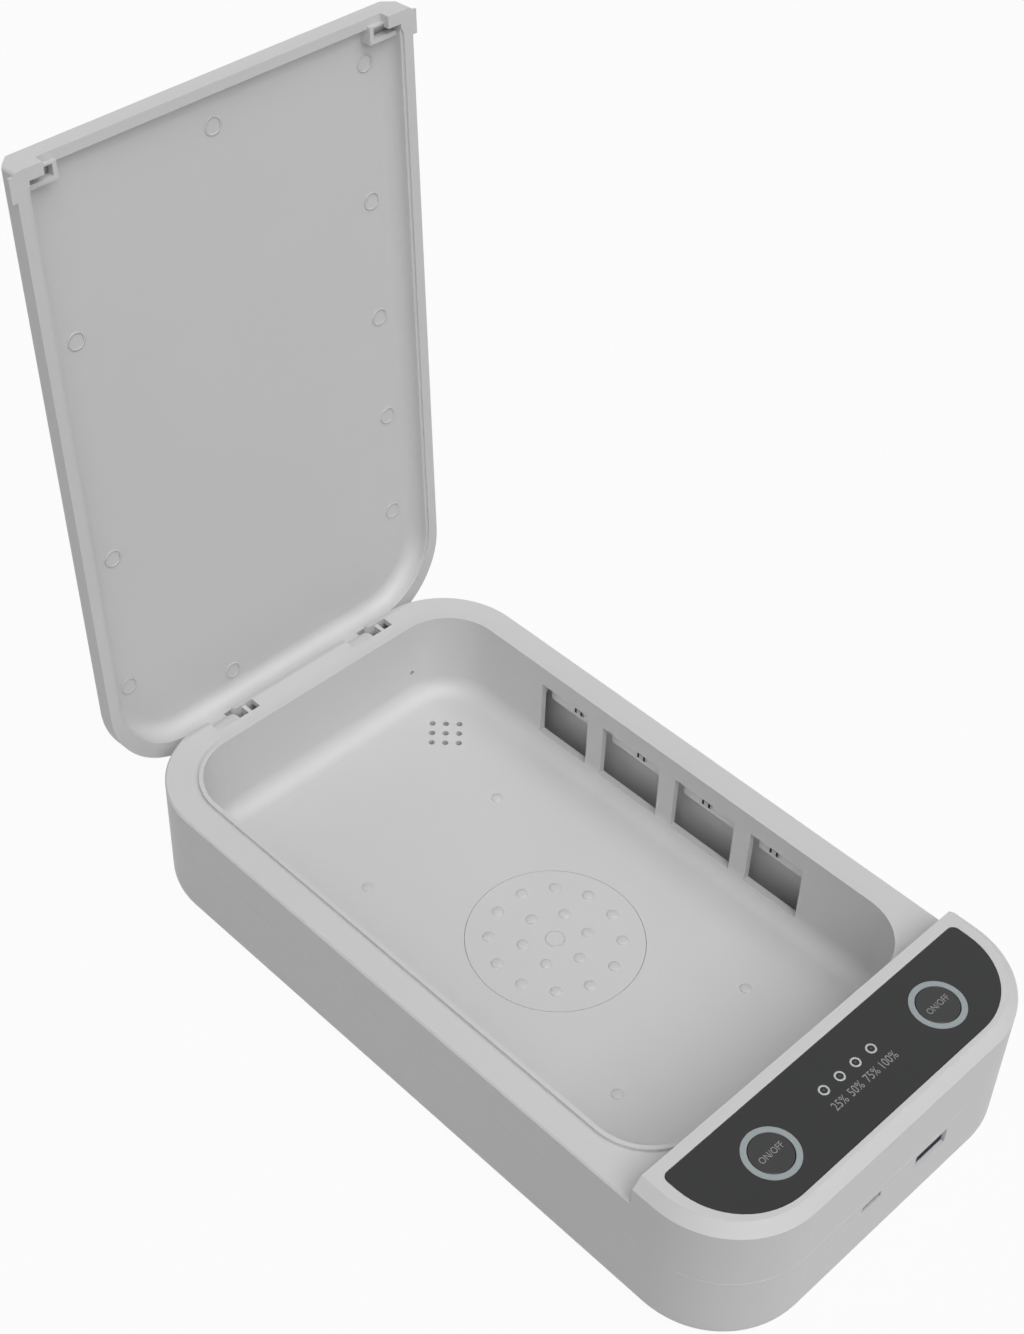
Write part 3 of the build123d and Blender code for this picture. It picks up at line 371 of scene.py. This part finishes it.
def disc_tree():
    """Round plates of a given radius and thickness on points."""
    tree, start, end = growth_tree("Discs on points", [
        ("Radius", "NodeSocketFloat"), ("Height", "NodeSocketFloat"),
        ("Material", "NodeSocketMaterial"),
    ])
    plate = add_node(
        tree, "GeometryNodeMeshCylinder",
        {"Vertices": 32, "Radius": start.outputs["Radius"], "Depth": start.outputs["Height"]},
    )
    return finish_growth(tree, start, end, plate.outputs["Mesh"])


def dome_tree():
    """Low domes of a given radius and height on points."""
    tree, start, end = growth_tree("Domes on points", [
        ("Radius", "NodeSocketFloat"), ("Height", "NodeSocketFloat"),
        ("Material", "NodeSocketMaterial"),
    ])
    ball = add_node(tree, "GeometryNodeMeshUVSphere", {"Segments": 28, "Rings": 18, "Radius": 1.0})
    place = add_node(tree, "GeometryNodeInputPosition")
    height = add_node(tree, "ShaderNodeSeparateXYZ", {0: place.outputs[0]})
    # Only the half above the ball's middle stays.
    under = add_node(
        tree, "FunctionNodeCompare", {0: height.outputs["Z"], 1: -0.01}, operation="LESS_THAN"
    )
    half = add_node(
        tree, "GeometryNodeDeleteGeometry",
        {"Geometry": ball.outputs["Mesh"], "Selection": under.outputs[0]},
    )
    size = add_node(tree, "ShaderNodeCombineXYZ", {
        "X": start.outputs["Radius"], "Y": start.outputs["Radius"], "Z": start.outputs["Height"],
    })
    dome = add_node(
        tree, "GeometryNodeTransform", {"Geometry": half.outputs[0], "Scale": size.outputs[0]}
    )
    smooth = add_node(tree, "GeometryNodeSetShadeSmooth", {"Geometry": dome.outputs[0]})
    return finish_growth(tree, start, end, smooth.outputs[0])


def lettering(name, text, height, width_factor, centre, depth, material, body):
    """Ink figures of a given height, centred on a point and read from the front of the box."""
    curve = bpy.data.curves.new(name, "FONT")
    curve.body = text
    curve.size = height / FACE_FIGURE_SHARE
    curve.align_x = "CENTER"
    curve.align_y = "CENTER"
    curve.extrude = depth / 2
    curve.resolution_u = 3
    source = bpy.data.objects.new(name, curve)
    bpy.context.scene.collection.objects.link(source)
    place = Matrix.Translation(centre) @ Matrix.Diagonal((width_factor, 1.0, 1.0, 1.0))
    piece = plain_mesh(name, source, body, place)
    piece.data.materials.clear()
    piece.data.materials.append(material)
    return piece


def lid_place():
    """The turn that takes a shut lid's place to where the lid lies open."""
    axis = Vector(HINGE["pos_m"])
    turn = Matrix.Rotation(math.radians(-HINGE["range_deg"][1]), 4, "X")
    return Matrix.Translation(axis) @ turn @ Matrix.Translation(-axis)


# ---- Pieces ----
class SANITIZER_OT_mouldings(bpy.types.Operator):
    """Give the case, lid and floor insert their moulded ABS"""
    bl_idname = "sanitizer.mouldings"
    bl_label = "Case mouldings"

    def execute(self, context):
        settings = context.scene.sanitizer_moulding
        # Moulded ABS with a fine spark-eroded face: pale, with a dull sheen and no sharp reflections.
        # The grain is drawn coarser than such a face has, so that it shows.
        abs_plastic = surface(
            "Moulded ABS, spark-eroded", settings.abs_colour, 0.44, settings.grain, 0.018 * MM,
            spread=0.02, IOR=1.53, Specular_IOR_Level=0.45,
        )
        dress(abs_plastic, "bottom_shell", "upper_housing", "lid", "floor_disc")
        return {"FINISHED"}


class SANITIZER_OT_ejector_marks(bpy.types.Operator):
    """Put the ejector pins' witness marks inside the lid"""
    bl_idname = "sanitizer.ejector_marks"
    bl_label = "Ejector marks"

    def execute(self, context):
        settings = context.scene.sanitizer_moulding
        middle = lid_ceiling_height() - MARK_HEIGHT / 2
        points = [Vector((x * MM, y * MM, middle)) for x, y in EJECTOR_MARKS]
        sizes = {
            "Radius": settings.mark_radius, "Band": MARK_BAND, "Height": MARK_HEIGHT,
            "Material": frame["nodes"]["lid"].data.materials[0],
        }
        marks = grown("ejector_marks", points, ring_tree(), sizes, "lid")
        marks.data.transform(lid_place())
        return {"FINISHED"}


def lid_ceiling_height():
    """Height of the lid's ceiling when shut: the level with the largest area that faces down."""
    back = lid_place().inverted()
    turn = back.to_3x3()
    areas = {}
    for face in frame["nodes"]["lid"].data.polygons:
        if (turn @ face.normal).z < -0.999:
            level = round((back @ face.center).z, 5)
            areas[level] = areas.get(level, 0.0) + face.area
    return max(areas, key=areas.get)


class SANITIZER_OT_dots(bpy.types.Operator):
    """Round off the raised dots that carry the phone"""
    bl_idname = "sanitizer.dots"
    bl_label = "Floor dots"

    def execute(self, context):
        settings = context.scene.sanitizer_moulding
        # The same ABS with a smoother face, so it catches a small highlight. Its colour is a little
        # darker than the grain round it: painted shade on the dots and the centre ring.
        polished = surface(
            "Moulded ABS, polished, painted shade", "#CBCBCB", 0.3, settings.grain, 0.004 * MM,
            spread=0.01, IOR=1.53,
        )
        domes = dome_tree()
        for node in ("upper_housing", "floor_disc"):
            grown(
                "dots_on_" + node, raised_dots(node), domes,
                {"Radius": settings.dot_radius, "Height": DOME_HEIGHT, "Material": polished},
                "case",
            )
        disc_low, disc_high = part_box("floor_disc")
        centre = (disc_low + disc_high) / 2
        centre.z = disc_high.z - DOT_RISE + CENTRE_RING_HEIGHT / 2
        sizes = {
            "Radius": CENTRE_RING_RADIUS, "Band": CENTRE_RING_BAND,
            "Height": CENTRE_RING_HEIGHT, "Material": polished,
        }
        grown("disc_centre_ring", [centre], ring_tree(), sizes, "case")
        return {"FINISHED"}


def raised_dots(node):
    """Centres of a node's small raised dots, at the height of the floor they stand on."""
    faces = frame["nodes"][node].data.polygons
    flat = [f.center for f in faces if f.normal.z > 0.999]
    tops = [centre for centre in flat if abs(centre.z - DOT_TOP) < 0.01 * MM]
    groups = []
    for spot in tops:
        near = next((g for g in groups if (g[0] - spot).length < DOT_REACH), None)
        if near is None:
            groups.append([spot])
        else:
            near.append(spot)
    return [sum(g, Vector()) / len(g) - Vector((0, 0, DOT_RISE)) for g in groups]


class SANITIZER_OT_panel(bpy.types.Operator):
    """Give the panel, caps, light rings and light pipe their finishes"""
    bl_idname = "sanitizer.panel"
    bl_label = "Panel and buttons"

    def execute(self, context):
        settings = context.scene.sanitizer_panel
        # Polished acrylic, printed dark on its back: deep charcoal under a clear gloss.
        acrylic = surface(
            "Polished acrylic, back-printed", settings.panel_colour, 0.16, 9 * MM, 0.01 * MM,
            spread=0.06, IOR=1.49,
        )
        dress(acrylic, "control_panel")
        # Moulded caps in smoked polycarbonate: as dark as the panel, with a slightly softer shine.
        smoked = surface(
            "Smoked polycarbonate, polished", settings.panel_colour, 0.22, 6 * MM, 0.02 * MM,
            spread=0.1, IOR=1.58,
        )
        dress(smoked, "sterilise_button", "aroma_button")
        # Frosted light-guide polycarbonate: milky, pale blue-grey while unlit.
        frosted = surface(
            "Frosted light-guide polycarbonate", settings.ring_colour, 0.4, 0.5 * MM, 0.01 * MM,
            spread=0.04, IOR=1.58, Subsurface_Weight=0.15, Subsurface_Scale=0.5 * MM,
        )
        dress(frosted, "button_light_rings", "indicator_light_pipe")
        return {"FINISHED"}


class SANITIZER_OT_panel_print(bpy.types.Operator):
    """Print the charge figures, the indicator rings and the words on the caps"""
    bl_idname = "sanitizer.panel_print"
    bl_label = "Panel print"

    def execute(self, context):
        settings = context.scene.sanitizer_panel
        ink_depth = settings.ink_thickness
        middle_z = PANEL_TOP + ink_depth / 2
        # Screen-printed grey ink: matt, a hair above the gloss.
        ink = surface(
            "Screen-printed grey ink", settings.ink_colour, 0.6, 0.25 * MM, 0.004 * MM, spread=0.05
        )
        # The same print in a paler grey round each light.
        pale_ink = surface(
            "Screen-printed pale ink", "#C4C6C4", 0.5, 0.25 * MM, 0.004 * MM, spread=0.04
        )
        # Smoked polycarbonate over an unlit light: near black, with a sharp shine.
        dark_lens = surface(
            "Smoked indicator lens", "#0B0B0B", 0.15, 1.5 * MM, 0.01 * MM, spread=0.1
        )
        # Small dull centre of each lens: only a little lighter than the lens round it.
        lens_centre = surface(
            "Dull grey lens centre", "#525250", 0.6, 0.25 * MM, 0.004 * MM, spread=0.05
        )
        pipe_low, pipe_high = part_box("indicator_light_pipe")
        middle_y = (pipe_low.y + pipe_high.y) / 2
        lights = [
            Vector(((i - 1.5) * INDICATOR_PITCH, middle_y, middle_z)) for i in range(4)
        ]
        raised = [light + Vector((0, 0, ink_depth / 2)) for light in lights]
        rings, discs = ring_tree(), disc_tree()
        for name, points, tree, sizes in (
            ("indicator_rings", lights, rings, {
                "Radius": INDICATOR_RING_RADIUS, "Band": INDICATOR_RING_BAND,
                "Height": ink_depth, "Material": pale_ink,
            }),
            ("indicator_lenses", lights, discs, {
                "Radius": LENS_RADIUS, "Height": ink_depth * LENS_SHARE, "Material": dark_lens,
            }),
            ("indicator_centres", raised, discs, {
                "Radius": LENS_CENTRE_RADIUS, "Height": ink_depth * LENS_CENTRE_SHARE,
                "Material": lens_centre,
            }),
        ):
            grown(name, points, tree, sizes, "case")
        for text, x in FIGURES:
            centre = Vector((x * MM, middle_y - FIGURE_DROP, middle_z))
            lettering(
                "figure_" + text[:-1], text, settings.figure_height, FIGURE_WIDTH,
                centre, ink_depth, ink, "case",
            )
        for body in ("sterilise_button", "aroma_button"):
            low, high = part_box(body)
            centre = Vector(((low.x + high.x) / 2, (low.y + high.y) / 2, high.z + ink_depth / 2))
            lettering(
                "switch_word_" + body, CAP_WORD, CAP_WORD_HEIGHT, CAP_WORD_WIDTH,
                centre, ink_depth, ink, body,
            )
        return {"FINISHED"}


class SANITIZER_OT_uv_strip(bpy.types.Operator):
    """Finish the ultraviolet strip and give its LEDs windows, with dark contacts and bars of painted
    shade round them
    """
    bl_idname = "sanitizer.uv_strip"
    bl_label = "Ultraviolet strip"

    def execute(self, context):
        # Glass-cloth board under white solder mask: bright white with a slight gloss.
        mask = surface("White solder mask", "#E2E2E2", 0.35, 0.8 * MM, 0.01 * MM, spread=0.03)
        # Fired alumina package: off-white and dull.
        ceramic = surface("Fired alumina", "#D2D0C6", 0.5, 0.3 * MM, 0.005 * MM, spread=0.03)
        # Dull dark solder at the package's ends, and a bar of it over the window: their darkness
        # against the white is painted shade round each window.
        solder = surface("Dull solder, painted shade", "#3A3A39", 0.6, 0.4 * MM, 0.02 * MM, metallic=1.0)
        # Polished quartz over the chip: pale, with a sharp shine.
        quartz = surface(
            "Polished quartz window", "#C6C8CA", 0.06, 2 * MM, 0.002 * MM, Coat_Weight=0.6
        )
        dress(mask, "uv_board")
        dress(ceramic, "uv_leds")
        half_length = LED_LENGTH / 2
        middle_z = (LEDS_LOW.z + LEDS_HIGH.z) / 2
        span = LEDS_HIGH.y - LEDS_LOW.y - 2 * half_length
        ys = [LEDS_LOW.y + half_length + span * i / (LED_COUNT - 1) for i in range(LED_COUNT)]
        front = LEDS_LOW.x - LED_PAD_STANDOFF
        middles = [Vector((front, y, middle_z)) for y in ys]
        ends = [
            Vector((front, y + side * LED_CONTACT_OFFSET, middle_z)) for y in ys for side in (-1, 1)
        ]
        tops = [Vector((front, y, middle_z + LED_SHADE_BAR_RISE)) for y in ys]
        pads = pad_tree()
        for name, points, size, material in (
            ("led_windows", middles, LED_WINDOW, quartz),
            # Dark contacts and bars round each window: painted shade.
            ("led_contacts", ends, LED_CONTACT, solder),
            ("led_shade_bars", tops, LED_SHADE_BAR, solder),
        ):
            sizes = {"Size": Vector(size) * MM, "Material": material}
            grown(name, points, pads, sizes, "case")
        return {"FINISHED"}


class SANITIZER_OT_connectors(bpy.types.Operator):
    """Finish the two sockets and give the outlet its contacts"""
    bl_idname = "sanitizer.connectors"
    bl_label = "Sockets"

    def execute(self, context):
        # Nickel-plated steel, folded by a press: a soft metal sheen.
        nickel = surface("Nickel-plated steel", "#A0A0A4", 0.34, 0.4 * MM, 0.01 * MM, metallic=1.0)
        # Gold-flashed contact springs: warm and smooth.
        gold = surface("Gold-flashed contact", "#C9A24A", 0.25, 0.5 * MM, 0.005 * MM, metallic=1.0)
        # Moulded nylon that carries the contacts: dull, white in the outlet and black in the inlet.
        nylon = surface("Moulded nylon carrier", "#D8D6CF", 0.5, 0.5 * MM, 0.01 * MM)
        black_nylon = surface("Black nylon carrier", "#161616", 0.5, 0.5 * MM, 0.01 * MM)
        dress(nickel, "usb_a_shell", "micro_usb_shell")
        for shell, wall in SHELL_WALLS.items():
            socket_mouth(shell, wall, nickel)
        dress(nylon, "usb_a_tongue")
        dress(black_nylon, "micro_usb_tongue")
        middle_x = (TONGUE_LOW.x + TONGUE_HIGH.x) / 2
        under = TONGUE_HIGH.z - TONGUE_THICKNESS
        points = [
            Vector((middle_x + x * MM, TONGUE_LOW.y + CONTACT_SETBACK, under - CONTACT_SINK))
            for x in CONTACT_PLACES
        ]
        sizes = {"Size": Vector(CONTACT_SIZE) * MM, "Material": gold}
        grown("outlet_contacts", points, pad_tree(), sizes, "case")
        return {"FINISHED"}


def socket_mouth(shell, wall, material):
    """The flared mouth that carries a socket's shell through the wall of the case.

    Five rectangular loops run from the outside of the shell round its lip and back in.
    """
    low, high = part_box(shell)
    front = FRONT_Y + MOUTH_SETBACK

    def loop(inset, y):
        x0, x1, z0, z1 = low.x + inset, high.x - inset, low.z + inset, high.z - inset
        return [(x0, y, z0), (x1, y, z0), (x1, y, z1), (x0, y, z1)]

    loops = [
        loop(0, low.y), loop(0, front), loop(MOUTH_LIP, front),
        loop(wall, front + MOUTH_TAPER), loop(wall, low.y),
    ]
    vertices = [corner for ring in loops for corner in ring]
    faces = [
        (4 * a + i, 4 * b + i, 4 * b + (i + 1) % 4, 4 * a + (i + 1) % 4)
        for a, b in zip(range(5), (1, 2, 3, 4, 0)) for i in range(4)
    ]
    mouth = mesh_object(shell + "_mouth", vertices, faces)
    mouth.data.materials.append(material)
    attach(mouth, "case")


class SANITIZER_OT_inside(bpy.types.Operator):
    """Finish the boards, switches, sensor, leads, scent tray and pad inside the case"""
    bl_idname = "sanitizer.inside"
    bl_label = "Inside pieces"

    def execute(self, context):
        # Glass-cloth board under green solder mask: dark green, slightly glossy.
        board = surface("Green solder mask", "#1D5A33", 0.35, 0.8 * MM, 0.01 * MM, spread=0.08)
        # Moulded black nylon: dark, with a dull sheen.
        black = surface("Moulded black nylon", "#17171A", 0.5, 0.4 * MM, 0.01 * MM, spread=0.05)
        # Resin filled with phosphor over each white light: pale yellow while unlit.
        phosphor = surface("Phosphor-filled resin", "#E6DFA8", 0.35, 0.4 * MM, 0.005 * MM)
        # Extruded vinyl over the wires: soft white, dull.
        vinyl = surface("Extruded white vinyl", "#D9D8D2", 0.5, 0.6 * MM, 0.01 * MM)
        # Moulded polypropylene: pale, with a waxy sheen.
        polypropylene = surface("Moulded polypropylene", "#CFCFCB", 0.4, 0.8 * MM, 0.01 * MM)
        # Pressed felt: off-white, matt and fibrous.
        felt = surface("Pressed felt", "#E2DFD4", 0.95, 0.5 * MM, 0.15 * MM, spread=0.08)
        dress(board, "control_board", "power_board")
        dress(black, "tact_switches", "sterilise_plunger", "aroma_plunger", "lid_sensor")
        dress(phosphor, "indicator_leds")
        dress(vinyl, "board_ribbon", "uv_lead")
        dress(polypropylene, "aroma_tray")
        dress(felt, "aroma_pad")
        return {"FINISHED"}


class SANITIZER_OT_hardware(bpy.types.Operator):
    """Finish the screws, hinge pins, magnets and feet"""
    bl_idname = "sanitizer.hardware"
    bl_label = "Fixings and feet"

    def execute(self, context):
        # Drawn steel wire: bright, with a fine sheen.
        steel = surface("Drawn steel pin", "#A9A8A4", 0.3, 0.5 * MM, 0.004 * MM, metallic=1.0)
        # Zinc-plated steel: pale and a little cloudy.
        zinc = surface("Zinc-plated steel screw", "#B2B2AC", 0.35, 0.4 * MM, 0.01 * MM, metallic=1.0)
        # Sintered magnet under nickel plate: bright grey metal.
        magnet = surface("Nickel-plated magnet", "#A8A8A6", 0.35, 0.5 * MM, 0.01 * MM, metallic=1.0)
        # Moulded soft rubber: dark grey, without shine.
        rubber = surface("Moulded soft rubber", "#3A3A3A", 0.8, 0.5 * MM, 0.03 * MM, spread=0.06)
        dress(steel, "hinge_pin_left", "hinge_pin_right")
        dress(zinc, "case_screws", "board_screws")
        dress(magnet, "lid_magnets", "case_magnets")
        dress(rubber, "feet")
        return {"FINISHED"}


class SANITIZER_OT_stage(bpy.types.Operator):
    """Set out the floor, the soft light and the camera"""
    bl_idname = "sanitizer.stage"
    bl_label = "Stage"

    def execute(self, context):
        settings = context.scene.sanitizer_stage
        floor_plane()
        studio_world(settings.ambient)
        soft_lamp("Key lamp", settings.key_power)
        soft_lamp("Fill lamp", settings.fill_power)
        soft_lamp("Back lamp", settings.back_power)
        studio_camera()
        context.scene.view_settings.view_transform = "Standard"
        return {"FINISHED"}


def floor_plane():
    """A wide pale floor that shows near white and keeps the box's shadow."""
    corners = [
        (x * FLOOR_REACH, y * FLOOR_REACH, 0) for x, y in ((-1, -1), (1, -1), (1, 1), (-1, 1))
    ]
    floor = mesh_object("studio_floor", corners, [(0, 1, 2, 3)])
    material, tree, output = new_material("Matt pale studio paper")
    place = add_node(tree, "ShaderNodeTexCoord").outputs["Object"]
    fibre = add_node(tree, "ShaderNodeTexNoise", {"Vector": place, "Scale": 400.0, "Detail": 2.0})
    colour = add_node(
        tree, "ShaderNodeMix",
        {0: fibre.outputs["Fac"], 6: linear("#B4B4B4"), 7: linear("#B9B9B9")}, data_type="RGBA",
    )
    paper = add_node(tree, "ShaderNodeBsdfDiffuse", {"Color": colour.outputs[2]})
    white = add_node(tree, "ShaderNodeEmission", {"Color": (1, 1, 1, 1), "Strength": 1.0})
    seen = seen_ray(tree)
    share = add_node(
        tree, "ShaderNodeMath", {0: seen, 1: FLOOR_SEEN_SHARE}, operation="MULTIPLY"
    )
    mixed = add_node(
        tree, "ShaderNodeMixShader", {0: share.outputs[0], 1: paper.outputs[0], 2: white.outputs[0]}
    )
    tree.links.new(mixed.outputs[0], output.inputs["Surface"])
    floor.data.materials.append(material)


def seen_ray(tree):
    """1 for rays from the camera, a reflection or through glass, otherwise 0."""
    path = add_node(tree, "ShaderNodeLightPath")
    seen = path.outputs["Is Camera Ray"]
    for kind in ("Is Glossy Ray", "Is Transmission Ray"):
        seen = add_node(
            tree, "ShaderNodeMath", {0: seen, 1: path.outputs[kind]}, operation="MAXIMUM"
        ).outputs[0]
    return seen


def studio_world(ambient):
    """Even light all round, seen as white."""
    world = bpy.data.worlds.new("Studio")
    bpy.context.scene.world = world
    world.use_nodes = True
    tree = world.node_tree
    tree.nodes.clear()
    even = add_node(tree, "ShaderNodeBackground", {"Color": (1, 1, 1, 1), "Strength": ambient})
    white = add_node(tree, "ShaderNodeBackground", {"Color": (1, 1, 1, 1), "Strength": 1.0})
    mixed = add_node(
        tree, "ShaderNodeMixShader", {0: seen_ray(tree), 1: even.outputs[0], 2: white.outputs[0]}
    )
    output = add_node(tree, "ShaderNodeOutputWorld")
    tree.links.new(mixed.outputs[0], output.inputs["Surface"])


def soft_lamp(name, power):
    """A large soft lamp, as wide as it is far away, which lights the box evenly."""
    data = bpy.data.lights.new(name, "AREA")
    data.energy = power
    data.size = LAMP_DISTANCE
    lamp = bpy.data.objects.new(name, data)
    towards = Vector(LAMP_DIRECTIONS[name]).normalized()
    place = Vector(LAMP_TARGET) + towards * LAMP_DISTANCE
    lamp.matrix_world = Matrix.LocRotScale(place, towards.to_track_quat("Z", "Y"), None)
    bpy.context.scene.collection.objects.link(lamp)


def studio_camera():
    """The camera above the front left corner, turned a little about its own line of sight."""
    data = bpy.data.cameras.new("Studio camera")
    data.sensor_fit = "VERTICAL"
    data.sensor_height = 36.0
    data.lens = CAMERA_LENS
    data.clip_start = 0.01
    camera = bpy.data.objects.new("Studio camera", data)
    place = Vector(CAMERA_PLACE) * MM
    target = Vector(CAMERA_TARGET) * MM
    back = (place - target).normalized()
    right = Vector((0, 0, 1)).cross(back).normalized()
    up = back.cross(right)
    roll = math.radians(CAMERA_ROLL)
    across = right * math.cos(roll) + up * math.sin(roll)
    upright = up * math.cos(roll) - right * math.sin(roll)
    turn = Matrix((across, upright, back)).transposed().to_4x4()
    camera.matrix_world = Matrix.Translation(place) @ turn
    bpy.context.scene.collection.objects.link(camera)
    bpy.context.scene.camera = camera


class SANITIZER_PT_sidebar(bpy.types.Panel):
    """Shows the box's settings and the buttons for its steps"""
    bl_idname = "SANITIZER_PT_sidebar"
    bl_label = "Ultraviolet Sanitizer Box"
    bl_space_type = "VIEW_3D"
    bl_region_type = "UI"
    bl_category = "Sanitizer"

    def draw(self, context):
        for group in (
            context.scene.sanitizer_moulding,
            context.scene.sanitizer_panel,
            context.scene.sanitizer_stage,
        ):
            box = self.layout.box()
            for name in group.__annotations__:
                box.prop(group, name)
        for operator in STEPS:
            self.layout.operator(operator.bl_idname)


SETTINGS = {
    "sanitizer_moulding": MouldingSettings,
    "sanitizer_panel": PanelSettings,
    "sanitizer_stage": StageSettings,
}

STEPS = (
    SANITIZER_OT_mouldings,
    SANITIZER_OT_ejector_marks,
    SANITIZER_OT_dots,
    SANITIZER_OT_panel,
    SANITIZER_OT_panel_print,
    SANITIZER_OT_uv_strip,
    SANITIZER_OT_connectors,
    SANITIZER_OT_inside,
    SANITIZER_OT_hardware,
    SANITIZER_OT_stage,
)

CLASSES = (*SETTINGS.values(), *STEPS, SANITIZER_PT_sidebar)


def register():
    for item in CLASSES:
        bpy.utils.register_class(item)
    for name, group in SETTINGS.items():
        setattr(bpy.types.Scene, name, bpy.props.PointerProperty(type=group))


def unregister():
    for name in SETTINGS:
        delattr(bpy.types.Scene, name)
    for item in reversed(CLASSES):
        bpy.utils.unregister_class(item)


def main():
    """Register the add-on and run its steps."""
    register()
    for step in STEPS:
        family, name = step.bl_idname.split(".")
        getattr(getattr(bpy.ops, family), name)()


if __name__ == "__main__":
    main()
